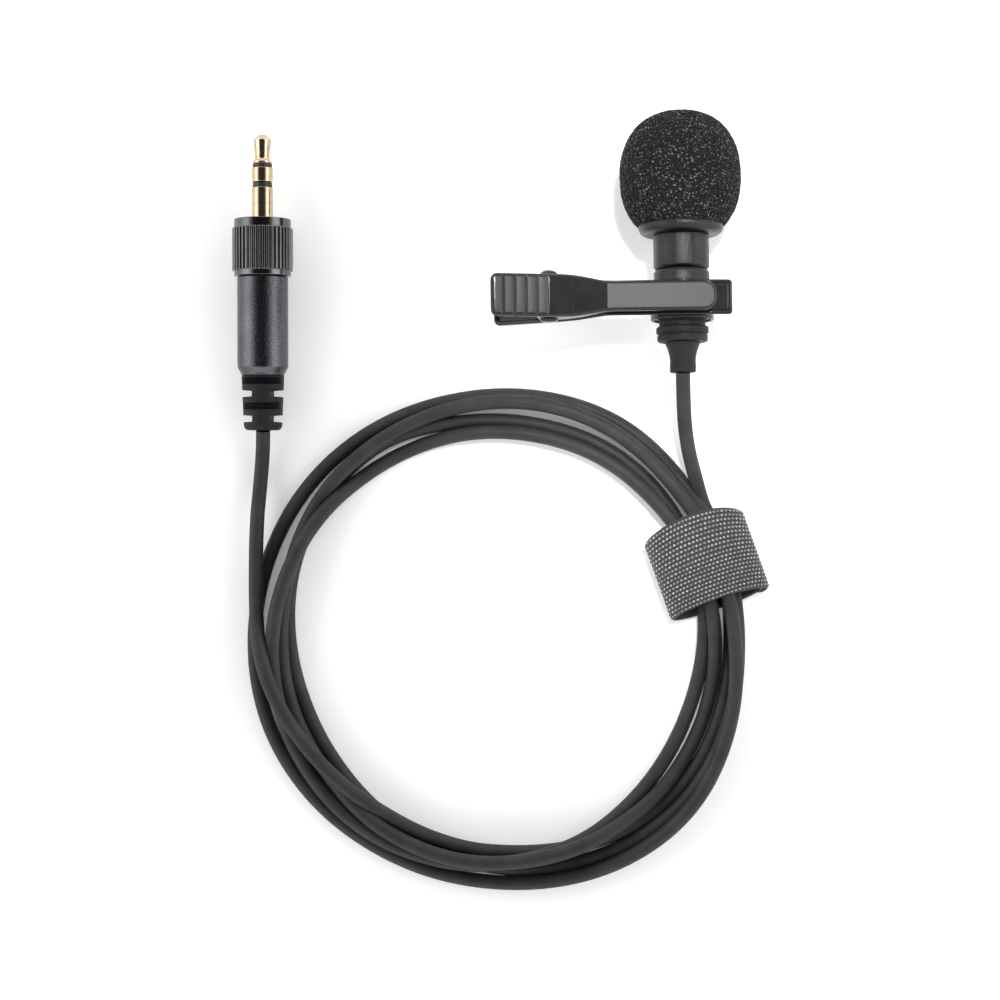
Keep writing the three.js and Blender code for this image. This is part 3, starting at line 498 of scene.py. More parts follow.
# The tie: its bearing on the coil in degrees, its distance from the coil's middle in metres, then millimetres.
tie = {
    "bearing": 18.8, "radius": 0.0373, "width": 13.6, "half": 8.5, "rise": 3.72, "middle": 4.1,
    "knit": 0.67, "lean": 0.32, "bow": 1.0, "start": 62, "lap": 105, "lapSlide": -1.08, "thickness": 0.75,
}
turns = {
    "joining": {"from": [155, 160, 165, 172.5, 180, 190, 200, 210, 220, 230, 240, 250, 260, 270, 280, 290, 300,
                         320, 330, 340, 360, 380],
                "out": [2.36, 1.60, 1.20, 0.80, 0.47, -0.02, -0.55, -1.00, -1.32, -1.66, -1.70, -1.58, -1.38,
                        -1.17, -0.91, -0.49, -0.03, 0.66, 0.77, 0.66, 0.49, 0.84],
                "pile": [4, 4, 4, 4, 4, 4, 4, 4, 4, 3.5, 3, 3, 3, 2, 1, 1, 1, 1, 1, 1, 1, 2]},
    "first": {"out": [1.22, 1.63, 1.35, 1.06, 1.06, 1.03, 0.90, 0.91, 1.00, 0.86, 0.69, 0.82,
                      1.14, 1.84, 1.99, 1.34, 0.63, 0.49],
              "pile": [2, 1, 1, 1, 1, 1, 1, 1, 1, 1, 1, 1, 2, 2, 3, 3, 3, 3]},
    "second": {"out": [0.49, 0.86, 0.84, 0.50, 0.10, -0.21, -0.85, -1.07, -1.01, -1.03, -0.71, -0.59,
                       -0.63, -0.50, -0.28, -0.34, -0.58, -0.87],
               "pile": [4, 2, 2, 2, 2, 2, 2, 2, 2, 2, 4, 4, 4, 3, 2, 2, 2, 2]},
    "third": {"out": [-1.19, -1.20, -1.41, -1.38, -1.35, -1.14, -0.86, -0.49, -0.24, 0.06, 0.06, -0.22,
                      -0.57, -0.86, -1.35, -1.57, -1.28, -0.91],
              "pile": [3, 2, 2, 2, 2, 3, 3, 3, 3, 2, 2, 2, 2, 2, 1, 1, 1, 1]},
    "fourth": {"out": [-0.52, -0.40, -0.59, -0.52, 0.07, -0.40, -0.90, -1.54, -1.95, -1.86, -1.33, -0.49,
                       0.35, 0.98, 1.50, 1.33, 0.90, 1.26],
               "pile": [1, 1, 1, 1, 1, 1, 1, 1, 1, 1, 1, 1, 1, 1, 2, 2, 2, 1]},
    "leaving": {"from": [385, 390, 393.3], "out": [1.33, 1.40, 1.43], "pile": [1, 0.5, 0]},
}
strapThickness = tie["thickness"] * mm


# Values evened out by a bell-shaped weight; past an end they go on as a half turn of themselves.
def evened(values, width):
    reach = int(3 * width)
    weight = np.exp(-0.5 * (np.arange(-reach, reach + 1) / width) ** 2)
    reach = min(reach, len(values) - 1)
    weight = weight[len(weight) // 2 - reach:len(weight) // 2 + reach + 1]
    before, after = 2 * values[0] - values[reach:0:-1], 2 * values[-1] - values[-2:-reach - 2:-1]
    return np.convolve(np.concatenate([before, values, after]), weight / weight.sum(), "valid")


# Course of the cable: radius and height by degree. Where two lengths pass with their middles a sideways apart,
# less than a diameter d, the upper is sqrt(d^2 - a^2) above the lower.
def coilCourse():
    low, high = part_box("cord_coil")
    centre = boxMiddle("cord_coil")
    d = cable["diameter"]
    middle = (high.x - low.x) / 2 - cable["middleFromOutside"] * d
    stations, out, pile = [], [], []
    for lap, (name, turn) in enumerate(turns.items()):
        at = np.array(turn.get("from", range(40, 381, 20)), float)
        lead = 0 if name == "joining" else (lap if name != "leaving" else lap - 1) * 360
        stations.extend(at + lead)
        out.extend(turn["out"])
        pile.extend(turn["pile"])
    degree = np.arange(stations[0], stations[-1] + 0.5, 1.0)
    radius = middle + d * evened(np.interp(degree, stations, out), cable["smooth"])
    rank = np.interp(degree, stations, pile)
    # it lies on the strap where that passes under the coil
    fromTie = (degree - tie["bearing"] - cable["turnBack"] + 180) % 360 - 180
    height = d / 2 + strapThickness * np.exp(-(fromTie / cable["overTie"]) ** 4)
    for phase in range(360):
        here = np.where(np.round(degree).astype(int) % 360 == phase)[0]
        for i in here[np.argsort(rank[here], kind="stable")]:
            for j in here:
                gap = abs(radius[i] - radius[j])
                if rank[i] - rank[j] > cable["samePile"] and gap < d:
                    height[i] = max(height[i], height[j] + math.sqrt(d * d - gap * gap))
    inTie = np.exp(-(fromTie / cable["inTie"]) ** 4) > 0.3
    height = np.where(inTie, np.minimum(height, cable["ceiling"]), height)
    height = np.maximum(evened(height, cable["smoothHeight"]), d / 2)
    # it comes off the plug's lead at the lead's height
    fromLead = np.exp(-((degree - degree[0]) / cable["settle"]) ** 2)
    height += (cable["plugLead"][-1][2] - height) * fromLead
    angle = np.radians(degree + cable["turnBack"])
    return np.stack([centre[0] + radius * np.cos(angle), centre[1] + radius * np.sin(angle), height], -1)


# Points spaced evenly along a line and evened out over a length; its ends stay where they are.
def evenPath(points, step, blur):
    along = runAlong(points)
    at = np.linspace(0, along[-1], int(along[-1] / step) + 1)
    path = np.stack([np.interp(at, along, points[:, k]) for k in range(3)], -1)
    smooth = np.stack([evened(path[:, k], blur / step) for k in range(3)], -1)
    fromEnd = np.minimum(at, at[-1] - at)
    keep = clamped(fromEnd / (2.5 * blur))[:, None]
    return path * (1 - keep) + smooth * keep


def addCable():
    points = np.concatenate([cable["plugLead"], coilCourse(), cable["micLead"][::-1]])
    path = evenPath(points, cable["step"], cable["blur"])[::-1]
    ends = path[[0, -1]]
    into = ends + cable["endReach"] * unit(ends - path[[1, -2]])
    path = np.concatenate([into[:1], path, into[1:]])
    curve = bpy.data.curves.new("cableJacket", "CURVE")
    curve.dimensions = "3D"
    curve.bevel_depth = cable["diameter"] / 2
    curve.bevel_resolution = 7
    curve.use_fill_caps = True
    spline = curve.splines.new("POLY")
    spline.points.add(len(path) - 1)
    corners = np.concatenate([path, np.ones((len(path), 1))], 1)
    spline.points.foreach_set("co", corners.astype(np.float32).ravel())
    spline.use_smooth = True
    curve.materials.append(finishes["jacket"])
    piece = linkObject("cableJacket", curve)
    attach(piece, "microphone")
    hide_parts("cord_mic_lead", "cord_plug_lead", "cord_coil")
    print("cable length", round(float(runAlong(path)[-1]), 4))
    return piece, path


cablePiece, cablePath = addCable()
print("cable laid")


# The microphone is turned about its axis; heights are in millimetres from the cable's exit.
foam = {
    "radius": 9.9, "middle": 32.4, "dome": 10.7, "skirt": 10.8, "foot": 24.2, "power": 2.3,
    "pocket": 6.3, "pocketTop": 32.6, "mouth": 7.0, "step": 25.7, "domeRows": 150, "skirtRows": 70, "segments": 330,
    "cell": 0.62, "depth": 0.16, "lump": 4.5, "lumpRise": 0.10, "mostRise": 0.12,
}


# The foam's outside is a squashed sphere, r = R (1 - |y/a|^p)^(1/p), pitted at each cell's middle and raised where
# two cells meet.
def addFoam():
    power, mouth, foot, middle = foam["power"], foam["mouth"], foam["foot"], foam["middle"]

    def outline(away, height, sign):
        return np.stack([foam["radius"] * (1 - (away / height) ** power) ** (1 / power), middle + sign * away], -1)

    rise = foam["dome"] * np.sin(np.linspace(0, 1, foam["domeRows"]) * math.pi / 2)
    drop = np.linspace(middle - foot, 0, foam["skirtRows"], endpoint=False)
    dome, skirt = outline(rise, foam["dome"], 1), outline(drop, foam["skirt"], -1)
    lip = [[mouth + 0.05, foot + 0.35], [mouth + 0.12, foot + 0.1]]
    inside = np.array([[0, foam["pocketTop"]], [foam["pocket"], foam["pocketTop"]], [foam["pocket"], foam["step"]],
                       [mouth, foam["step"]]])
    chain = np.concatenate([filled(inside, 0.4, closed=False), lip, skirt, dome])
    grid = turned(chain, micFrame, foam["segments"])
    points = grid["points"].reshape(-1, 3) / mm
    nearest, second = cellDistance(points, foam["cell"], 5)
    fine, _ = cellDistance(points, foam["cell"] * 0.5, 11)
    pit = clamped(0.75 - nearest) + 0.4 * clamped(0.6 - fine)
    rib = clamped(1 - (second - nearest) / 0.25)
    outward = unit(points - micFrame["origin"] / mm - [0, middle, 0])
    slow, _ = cellDistance(points, foam["lump"], 3)
    shift = foam["depth"] * (0.55 * rib - 1.25 * pit + 0.25) + foam["lumpRise"] * (slow - 0.5)
    # only the outside moves, past the skirt's first row and short of the crown's pole
    moves = (np.arange(len(chain)) > len(chain) - len(skirt) - len(dome)) & (chain[:, 0] >= 0.05)
    moves = moves.repeat(foam["segments"])
    points = points + outward * np.where(moves, np.minimum(shift, foam["mostRise"]), 0)[:, None]
    grid["points"] = (points * mm).reshape(grid["points"].shape)
    piece = addPiece("foamWindscreen", [grid], "foam", "windscreen", ["windscreen_foam"])


# name, chain of [radius, height], finish, node, rounding
def micPieces():
    cup = np.concatenate([[[3.4, 22.65]], arc(5.75, 23.85, 1.2, -90, 0, 10),
                          [[6.95, 25.55], [6.3, 25.55], [6.3, 24.05], [3.4, 24.05]]])
    upper = [[3.5, 14.0], [4.0, 14.0], [4.0, 16.95], [4.28, 16.95], [4.6, 17.35], [4.6, 22.6], [3.5, 22.6]]
    lower = [[4.1, 8.8], [4.6, 8.8], [4.6, 16.35], [4.28, 16.85], [4.1, 16.85]]
    cap = [[1.85, 5.0], [3.9, 5.0], [4.14, 5.2], [4.14, 6.05], [3.98, 6.16], [3.98, 6.3], [4.3, 6.42], [4.3, 7.28],
           [4.1, 7.5], [3.8, 7.5], [3.8, 11.0], [3.2, 11.0], [3.2, 8.0], [1.85, 8.0]]
    relief = np.concatenate([[[1.25, 0.0], [2.12, 0.0], [2.16, 0.9], [2.10, 1.9]],
                             [[2.10 + 0.78 * t ** 1.7, 1.9 + 2.9 * t] for t in (0.2, 0.4, 0.6, 0.8, 0.95)],
                             [[2.9, 4.95], [1.75, 4.95], [1.75, 8.3], [1.25, 8.3]]])
    return [
        ("headCup", cup, "satinBlack", "head_cup", 0.12),
        ("barrelUpper", upper, "satinBlack", "mic_barrel_upper", 0.14),
        ("barrelLower", lower, "satinBlack", "mic_barrel_lower", 0.14),
        ("endCap", cap, "rubber", "mic_end_cap", 0.12),
        ("micRelief", relief, "rubber", "mic_strain_relief", 0.14),
    ]


# The grille under the foam: rings of dimples in its crown stand for drilled holes.
dimples = {"rings": 4, "pitch": 1.35, "radius": 0.42, "edge": 0.1, "depth": 0.4, "above": 32.15}


def addGrille():
    pitch = dimples["pitch"]
    chain = [[0, 31.9], [5.7, 31.9], [5.7, 24.1], [6.2, 24.1], [6.2, 32.0], [5.8, 32.4], [0, 32.4]]
    grid = turned(filled(softened(chain, 0.12), 0.14), micFrame, 220)
    across = (grid["points"] - micFrame["origin"]) / mm
    x, h, z = across[..., 0], across[..., 1], across[..., 2]
    r, angle = np.hypot(x, z), np.arctan2(z, x)
    sunk = np.zeros_like(r)
    for ring in range(dimples["rings"]):
        count = max(1, 6 * ring)
        turn = (np.round(angle * count / tau) * tau / count) if ring else 0 * angle
        gap = np.hypot(x - pitch * ring * np.cos(turn), z - pitch * ring * np.sin(turn))
        sunk = np.maximum(sunk, clamped((dimples["radius"] - gap) / dimples["edge"]))
    down = np.where(h > dimples["above"], dimples["depth"] * sunk, 0)
    grid["points"] = grid["points"] - down[..., None] * mm * micFrame["axis"]
    addPiece("grilleCap", [grid], "satinBlack", "microphone", ["grille_cap"])


addFoam()
for name, chain, finish, node, rounding in micPieces():
    grid = turned(filled(softened(chain, rounding), 1.2), micFrame, 160)
    addPiece(name, [grid], finish, "microphone", [node])
addGrille()
print("microphone made")


# The clip: x along its arms from the barrel's axis, y across, z the height above the barrel's axis.
clip = {
    "centre": 11.7, "padEnd": -31.5, "padHalf": 3.45, "padTaper": -18.3, "bend": -12.7, "stripHalf": 2.4,
    "stripTip": 4.9, "stripTop": 8.33, "padRise": 3.95, "sheet": 0.6, "plateUnder": 5.23, "plateTip": 7.7,
    "plateHalf": 2.85, "rearEnd": -31.0, "rearDrop": 8.55, "pinX": -22.1, "pinHeight": 6.98,
    "grooves": [-29.5, -27.71, -25.92, -24.13, -22.34], "grooveHalf": 2.85, "grooveDepth": 0.30, "level": 0.62,
    "dipFrom": 4.3, "dip": 0.12, "lip": 1.1, "shoulder": 0.55, "topRows": 30, "toothPitch": 1.3, "toothDepth": 0.5,
    "teeth": 12, "bandSatinAndSheen": 0.75,
}
clipFrame = {"origin": micFrame["origin"] + np.array([0, clip["centre"] * mm, 0]), "axis": np.array([0.0, 1.0, 0.0])}
padSlope = clip["padRise"] / (clip["bend"] - clip["padEnd"])
rearSlope = clip["rearDrop"] / (clip["bend"] - clip["rearEnd"])


# An outline from its half, with corners [x, y, rounding], and the half's mirror; also its outward directions.
def mirroredOutline(corners, step):
    half = [np.array(corners[0][:2], float)]
    for before, here, after in zip(corners, corners[1:], corners[2:]):
        p = np.array(here[:2], float)
        first, last = unit(np.array([before[:2], after[:2]], float) - p) * here[2]
        half.extend(roundedCorner(p, first, last, 14))
    half.append(np.array(corners[-1][:2], float))
    half = filled(np.array(half), step, closed=False)
    whole = np.concatenate([half, (half * [1, -1])[-2:0:-1]])
    along = unit(np.roll(whole, -1, 0) - np.roll(whole, 1, 0))
    return whole, np.stack([-along[:, 1], along[:, 0]], -1)


# A pressed lid: rows run from the middle line across the top, over a shoulder, down the skirt, round its lower edge
# and back up inside. topAt gives the height at x and y, edgeAt the skirt's lower edge.
def lid(outline, outward, ends, topAt, edgeAt, sheet, shoulder, rowsOut):
    spine = np.stack([np.clip(outline[:, 0], *ends), 0 * outline[:, 1]], -1)
    edge = edgeAt(outline[:, 0])
    rows = []

    def row(inset, z):
        rows.append(np.concatenate([outline - outward * inset, np.broadcast_to(z, outline.shape[:1])[:, None]], 1))

    def face(rim, shares, drop):
        for t in shares:
            flat = spine * (1 - t) + rim * t
            rows.append(np.concatenate([flat, topAt(flat[:, 0], flat[:, 1])[:, None] - drop], 1))

    rim = outline - outward * shoulder
    face(rim, np.linspace(0, 1, rowsOut) ** 0.8, 0)
    crown = topAt(rim[:, 0], rim[:, 1])
    for turn in np.radians([12, 25, 38, 52, 65, 78, 90]):
        row(shoulder * (1 - math.sin(turn)), crown - shoulder * (1 - math.cos(turn)))
    foot = np.minimum(edge + sheet / 2, crown - shoulder)
    for t in np.linspace(0, 1, 9)[1:]:
        row(0, (crown - shoulder) * (1 - t) + foot * t)
    for turn in np.radians([30, 60, 90, 120, 150, 180]):
        row(sheet / 2 * (1 - math.cos(turn)), foot - sheet / 2 * math.sin(turn))
    under = crown - sheet
    for t in (0.35, 0.7, 1.0):
        row(sheet, foot * (1 - t) + np.maximum(under - 0.2, foot) * t)
    face(outline - outward * (sheet + 0.25), np.linspace(1, 0, 12), sheet)
    return np.stack(rows)


def clipPoints(rows, flip=1.0):
    return placed(rows[..., 0], rows[..., 1], flip * rows[..., 2], clipFrame)


# Height of the front arm's face: level along the strip, rising along the pad, which has five cut grooves with
# nearly level, crowned bands between them.
def frontTop(x, y):
    z = clip["stripTop"] + np.maximum(clip["bend"] - x, 0) * padSlope
    grooves = np.array(clip["grooves"])
    pitch = grooves[1] - grooves[0]
    low, high = grooves[0] - 0.55 * pitch, grooves[-1]
    inside = clamped((x - low) / 0.35) * clamped((high - x) / 0.12 + 1)
    inside = inside * clamped((clip["grooveHalf"] - np.abs(y)) / 0.4 + 0.5)
    inside = eased(inside)
    phase = (x - grooves[0]) / pitch
    share = phase - np.floor(phase)
    band = (share - 0.5) * pitch * padSlope * clip["level"] + 0.10 * (1 - (2 * share - 1) ** 2) - 0.04
    toGroove = np.abs(phase - np.clip(np.round(phase), 0, len(grooves) - 1)) * pitch
    cut = clip["grooveDepth"] * clamped(1 - toGroove / 0.26)
    half = np.where(x < clip["padTaper"], clip["padHalf"], clip["stripHalf"])
    crowned = 0.10 * clamped(np.abs(y) / half) ** 3 * clamped((clip["bend"] - x) / 3)
    curl = 0.22 * clamped((clip["padEnd"] + 1.3 - x) / 1.3) ** 2
    return z + inside * (band - cut) - crowned - curl


def addFrontArm():
    c = clip
    outline, outward = mirroredOutline([
        [c["padEnd"], 0, 0], [c["padEnd"], c["padHalf"], 1.25], [c["padTaper"], c["padHalf"], 2.4],
        [c["bend"], c["stripHalf"], 1.6], [c["stripTip"], c["stripHalf"], 2.35], [c["stripTip"], 0, 0]], 0.13)
    lipAt = lambda x: c["stripTop"] + (c["bend"] - x) * padSlope - c["lip"]
    earLeft, earRight = c["pinX"] - 2.1, c["pinX"] + 2.1
    jaw, earLow = c["plateUnder"] + 0.7, c["pinHeight"] - 2.0
    step = np.arange(c["teeth"])
    xs = [c["padEnd"], earLeft, earLeft + 0.5, earLeft + 1.2, earRight - 1.2, earRight - 0.4, earRight + 2.1,
          *(c["bend"] + 0.3 + c["toothPitch"] * step), c["stripTip"]]
    zs = [lipAt(c["padEnd"]), lipAt(earLeft), earLow + 1.2, earLow, earLow, earLow + 0.45, jaw,
          *(jaw + c["toothDepth"] * (step % 2)), jaw]
    edgeAt = lambda x: np.interp(x, xs, zs)
    ends = (c["padEnd"] + c["padHalf"], c["stripTip"] - c["stripHalf"])
    rows = lid(outline, outward, ends, frontTop, edgeAt, c["sheet"], c["shoulder"], c["topRows"])
    x, y = rows[..., 0], rows[..., 1]
    # the strip's level top gets all of the duller paint's painted sheen, the pad's bands most of it
    top = (np.arange(rows.shape[0]) < c["topRows"])[:, None]
    band = (x < c["grooves"][-1] + 0.1) & (x > c["grooves"][0] - 1.2) & (np.abs(y) < c["grooveHalf"])
    face = np.where(top & (x > c["bend"] + 0.02), 1.0, np.where(top & band, c["bandSatinAndSheen"], 0.0))
    addPiece("clipFront", [{"points": clipPoints(rows)}], "paint", "clip_front", ["clip_front_arm"],
             {"satinAndPaintedSheen": face.ravel()})


# A flat plate on edge: an outline in x and z, with rounded rims, from y = first to last.
def standingPlate(outline, first, last, edge=0.12):
    outline = np.asarray(outline, float)
    middle = outline.mean(0)
    along = np.roll(outline, -1, 0) - np.roll(outline, 1, 0)
    normal = unit(np.stack([along[:, 1], -along[:, 0]], -1))
    normal *= np.sign(((outline - middle) * normal).sum(1))[:, None]
    rows = []
    near, far = 0.4 * edge, 0.35 * edge
    for share, y, inset in [(0, first, 0), (1, first, edge), (1, first + near, far), (1, first + edge, 0),
                            (1, last - edge, 0), (1, last - near, far), (1, last, edge), (0, last, 0)]:
        p = middle + (outline - normal * inset - middle) * share
        rows.append(np.stack([p[:, 0], np.full(len(p), y), p[:, 1]], -1))
    return np.stack(rows)


# The rear arm is such a lid turned over, with a low rim round its thumb pad and two ears for the pin.
def addRearArm():
    c = clip
    outline, outward = mirroredOutline([
        [c["rearEnd"], 0, 0], [c["rearEnd"], c["padHalf"] - 0.05, 1.25], [c["padTaper"], c["padHalf"] - 0.05, 2.4],
        [c["bend"], c["plateHalf"], 1.6], [c["plateTip"], c["plateHalf"], 0.7], [c["plateTip"], 0, 0]], 0.2)
    under = lambda x: (c["plateUnder"] - np.maximum(c["bend"] - x, 0) * rearSlope
                       - np.maximum(x - c["dipFrom"], 0) * c["dip"])
    topAt = lambda x, y: -under(x)
    rim = lambda x: 0.95 * clamped((c["bend"] - 4 - x) / 5)
    edgeAt = lambda x: -under(x) - c["sheet"] - rim(x) + 0.02
    ends = (c["rearEnd"] + c["padHalf"], c["plateTip"] - c["plateHalf"])
    rows = lid(outline, outward, ends, topAt, edgeAt, c["sheet"], 0.22, 22)
    grids = [{"points": clipPoints(rows, -1.0)}]
    feet = [[x, under(x) + 0.3] for x in (c["pinX"] - 2.0, c["pinX"] + 2.0)]
    ear = filled(np.concatenate([feet, arc(c["pinX"], c["pinHeight"], 2.0, 0, 180, 16)]), 0.5)
    outer = c["padHalf"] - c["sheet"] - 0.12
    for first, last in ((outer - 0.6, outer), (-outer, 0.6 - outer)):
        grids.append({"points": clipPoints(standingPlate(ear, first, last))})
    addPiece("clipRear", grids, "paint", "clip", ["clip_rear_arm"])


def addCollarAndPin():
    ring = softened([[4.7, -3.2], [5.18, -3.2], [5.18, 3.2], [4.7, 3.2]], 0.2)
    addPiece("clipCollar", [turned(filled(ring, 0.8), clipFrame, 160)], "paint", "clip", ["clip_collar"])
    pinPlace = clipFrame["origin"] + mm * np.array([clip["pinX"], 0, clip["pinHeight"]])
    pinFrame = {"origin": pinPlace, "axis": clipFrame["axis"]}
    turnUp = np.radians(np.linspace(0, 90, 14))
    dome = np.stack([1.5 * np.cos(turnUp), 3.55 + 0.9 * np.sin(turnUp)], -1)
    dome[-1, 0] = 0
    chain = np.concatenate([[[0.85, 3.55]], dome])
    chain = np.concatenate([([0, -3.55] + (chain - [0, 3.55]) * [1, -0.55])[::-1], chain])
    addPiece("pivotPin", [turned(chain, pinFrame, 64, closed=False)], "paint", "clip", ["clip_pivot_pin"])


# The spring's wire: a helix round the pin with a straight leg at each end.
def addSpring():
    turnsRound, pitch, leg, wire = 4, 0.75, 4.2, 0.3
    radius = 0.85 + 0.3 + wire
    rear, front = math.pi + math.atan(rearSlope), math.pi - math.atan(padSlope) + 0.49
    start = rear + math.pi / 2
    sweep = tau * (turnsRound + 1) + front - math.pi / 2 - start
    share = np.linspace(0, 1, 160)
    angle = start + sweep * share
    x = clip["pinX"] + radius * np.cos(angle)
    z = clip["pinHeight"] + radius * np.sin(angle)
    y = pitch * sweep / tau * (share - 0.5)
    line = np.stack([x, y, z], -1)
    reach = np.linspace(leg, 0.2, 12)[:, None]
    first = line[0] + reach * [math.cos(rear), 0, math.sin(rear)]
    last = line[-1] + reach[::-1] * [math.cos(front), 0, math.sin(front)]
    line = np.concatenate([first, line, last])
    addPiece("clipSpring", [tubeGrid(line, wire, 12)], "spring", "clip", ["clip_spring"])


# A round section carried along a line of local points, square to it, closed at both ends.
def tubeGrid(line, radius, sides):
    along = unit(np.gradient(line, axis=0))
    across = np.cross(along, [0, 1.0, 0])
    across = unit(np.where(np.linalg.norm(across, axis=1)[:, None] < 1e-3, [1.0, 0, 0], across))
    other = np.cross(along, across)
    angle = np.linspace(0, tau, sides, endpoint=False)
    ring = across[:, None] * np.cos(angle)[None, :, None] + other[:, None] * np.sin(angle)[None, :, None]
    rows = line[:, None] + radius * ring
    rows = np.concatenate([np.repeat(line[:1, None], sides, 1), rows, np.repeat(line[-1:, None], sides, 1)])
    return {"points": clipPoints(rows)}


addFrontArm()
addRearArm()
addCollarAndPin()
addSpring()
print("clip made")


# The plug: heights in millimetres from where its cable leaves it.
plug = {
    "slots": 4, "slotTop": 8.75, "slotPitch": 2.1, "slotWidth": 1.05, "slotCore": 1.5, "slotEdge": 0.16,
    "ringFrom": 25.7, "ringTop": 35.2, "knurlFrom": 26.62, "knurlTop": 33.70, "knurls": 42, "knurlDepth": 0.26,
    "knurlShare": 0.30, "threadPitch": 0.6, "threadDepth": 0.16, "crown": 5.05, "rim": 4.75, "recess": 3.95,
    "bore": 3.45,
}


# Radius of the sleeve. Where a slot is cut from front and back, or from both sides, its surface is the flat at
# slotCore from the middle, r = core / |cos a|, wherever that is inside the sleeve.
def slotted(r, h, angle):
    p = plug
    out = r
    for i in range(p["slots"]):
        middle = p["slotTop"] - p["slotPitch"] * i - p["slotWidth"] / 2
        facing = np.abs(np.sin(angle) if i % 2 == 0 else np.cos(angle)) + 1e-6
        flat = np.minimum(p["slotCore"] / facing, r)
        depth = clamped((p["slotWidth"] / 2 + p["slotEdge"] / 2 - np.abs(h - middle)) / p["slotEdge"])
        out = np.where(r > p["slotCore"] + 0.2, out + (np.minimum(flat, out) - out) * eased(depth), out)
    return out


def addPlugRelief():
    heights = np.arange(0.8, 9.05, 0.045)
    wall = np.stack([3.18 + (3.56 - 3.18) * heights / 9.1, heights], -1)
    foot = arc(2.38, 0.8, 0.8, -90, -4, 12)
    end = [[3.5, 9.08], [2.87, 9.1], [2.87, 11.7], [1.25, 11.7]]
    chain = np.concatenate([[[1.25, 0.0], [1.6, 0.0]], foot, wall, end])
    core = turned(chain, plugFrame, 192, slotted)
    nub = []
    for i in range(0, plug["slots"], 2):  # the core's small moulding mark in each front slot
        middle = plug["slotTop"] - plug["slotPitch"] * i - plug["slotWidth"] / 2
        turn = np.radians(np.linspace(0, 90, 7))
        cap = np.stack([0.34 * np.cos(turn), 0.16 * np.sin(turn)], -1)
        spin = np.linspace(0, tau, 24, endpoint=False)
        for side in (1, -1):
            x = cap[:, :1] * np.cos(spin)
            h = middle + cap[:, :1] * np.sin(spin)
            z = side * (plug["slotCore"] + np.repeat(cap[:, 1:], 24, 1))
            nub.append({"points": placed(x, h, z, plugFrame)})
            nub.append({"points": placed(x[:1] * np.array([[1], [0]]), np.concatenate([h[:1], 0 * h[:1] + middle]),
                                         np.concatenate([z[:1], z[:1]]), plugFrame)})
    addPiece("plugRelief", [core, *nub], "rubber", "microphone", ["plug_strain_relief"])


# The locking ring: V grooves between flat crowns, and a screw thread in its recess, whose saw tooth goes by height
# over pitch less the share of a turn.
def ringRadius(r, h, angle):
    p = plug
    share = angle * p["knurls"] / tau
    valley = clamped(1 - np.abs(share - np.round(share)) / p["knurlShare"])
    band = clamped((r - 4.76) / 0.12)
    out = r - p["knurlDepth"] * valley * band
    wound = h / p["threadPitch"] - angle / tau
    tooth = np.abs(wound - np.round(wound)) * 2
    thread = (np.abs(r - p["recess"]) < 0.02) & (h > 28.6) & (h < 34.9)
    return np.where(thread, out - p["threadDepth"] * (1 - tooth), out)


def addLockRing():
    p = plug
    rim, crown, recess, bore, foot = p["rim"], p["crown"], p["recess"], p["bore"], p["ringFrom"]
    outer = softened([[bore, foot], [rim, foot], [rim, p["knurlFrom"]], [crown, p["knurlFrom"]],
                      [crown, p["knurlTop"]], [rim, p["knurlTop"]], [rim, p["ringTop"]], [recess, p["ringTop"]]], 0.13)
    wall = np.stack([np.full(150, recess), np.linspace(p["ringTop"] - 0.2, foot + 2.7, 150)], -1)
    chain = np.concatenate([outer, wall, [[recess, foot + 2.6], [bore, foot + 2.6]]])
    ring = turned(filled(chain, 1.0), plugFrame, p["knurls"] * 12, ringRadius)
    addPiece("lockRing", [ring], "ringBlack", "locking_ring", ["lock_ring"])


def plugPieces():
    barrel = [[2.97, 9.15], [3.55, 9.15], [3.66, 9.5], [4.2, 10.45], [4.25, 10.9], [4.25, 25.6], [3.35, 25.6],
              [3.35, 31.75], [2.6, 31.75], [2.6, 24.85], [3.5, 24.85], [3.5, 11.75], [2.97, 11.75]]
    sleeve = [[1.3, 30.7], [2.5, 30.7], [2.5, 31.8], [1.75, 31.8], [1.75, 40.5], [1.3, 40.5]]
    firstBand = [[0.95, 30.4], [1.24, 30.4], [1.24, 40.6], [1.62, 40.6], [1.62, 41.35], [0.95, 41.35]]
    ring = [[0.6, 30.2], [0.9, 30.2], [0.9, 41.45], [1.75, 41.45], [1.75, 43.8], [0.6, 43.8]]
    secondBand = [[0.3, 30.0], [0.55, 30.0], [0.55, 43.9], [1.62, 43.9], [1.62, 44.45], [0.3, 44.45]]
    tip = [[0, 29.8], [0.25, 29.8], [0.25, 44.55], [1.58, 44.55], [1.60, 44.85], [1.30, 45.15], [1.22, 45.45],
           [1.25, 46.0], [1.36, 47.2], [1.48, 48.35], [1.42, 48.55], [0.72, 49.18], [0.45, 49.33], [0, 49.35]]
    return [
        ("plugBarrel", barrel, "plugShell", "plug_barrel", 0.22),
        ("jackSleeve", sleeve, "gold", "jack_sleeve", 0.08),
        ("jackFirstBand", firstBand, "insulator", "jack_ring_insulator", 0.05),
        ("jackRing", ring, "gold", "jack_ring", 0.09),
        ("jackSecondBand", secondBand, "insulator", "jack_tip_insulator", 0.05),
        ("jackTip", tip, "gold", "jack_tip", 0.07),
    ]


addPlugRelief()
addLockRing()
for name, chain, finish, node, rounding in plugPieces():
    grid = turned(filled(softened(chain, rounding), 1.5), plugFrame, 144)
    addPiece(name, [grid], finish, "microphone", [node])
print("plug made")


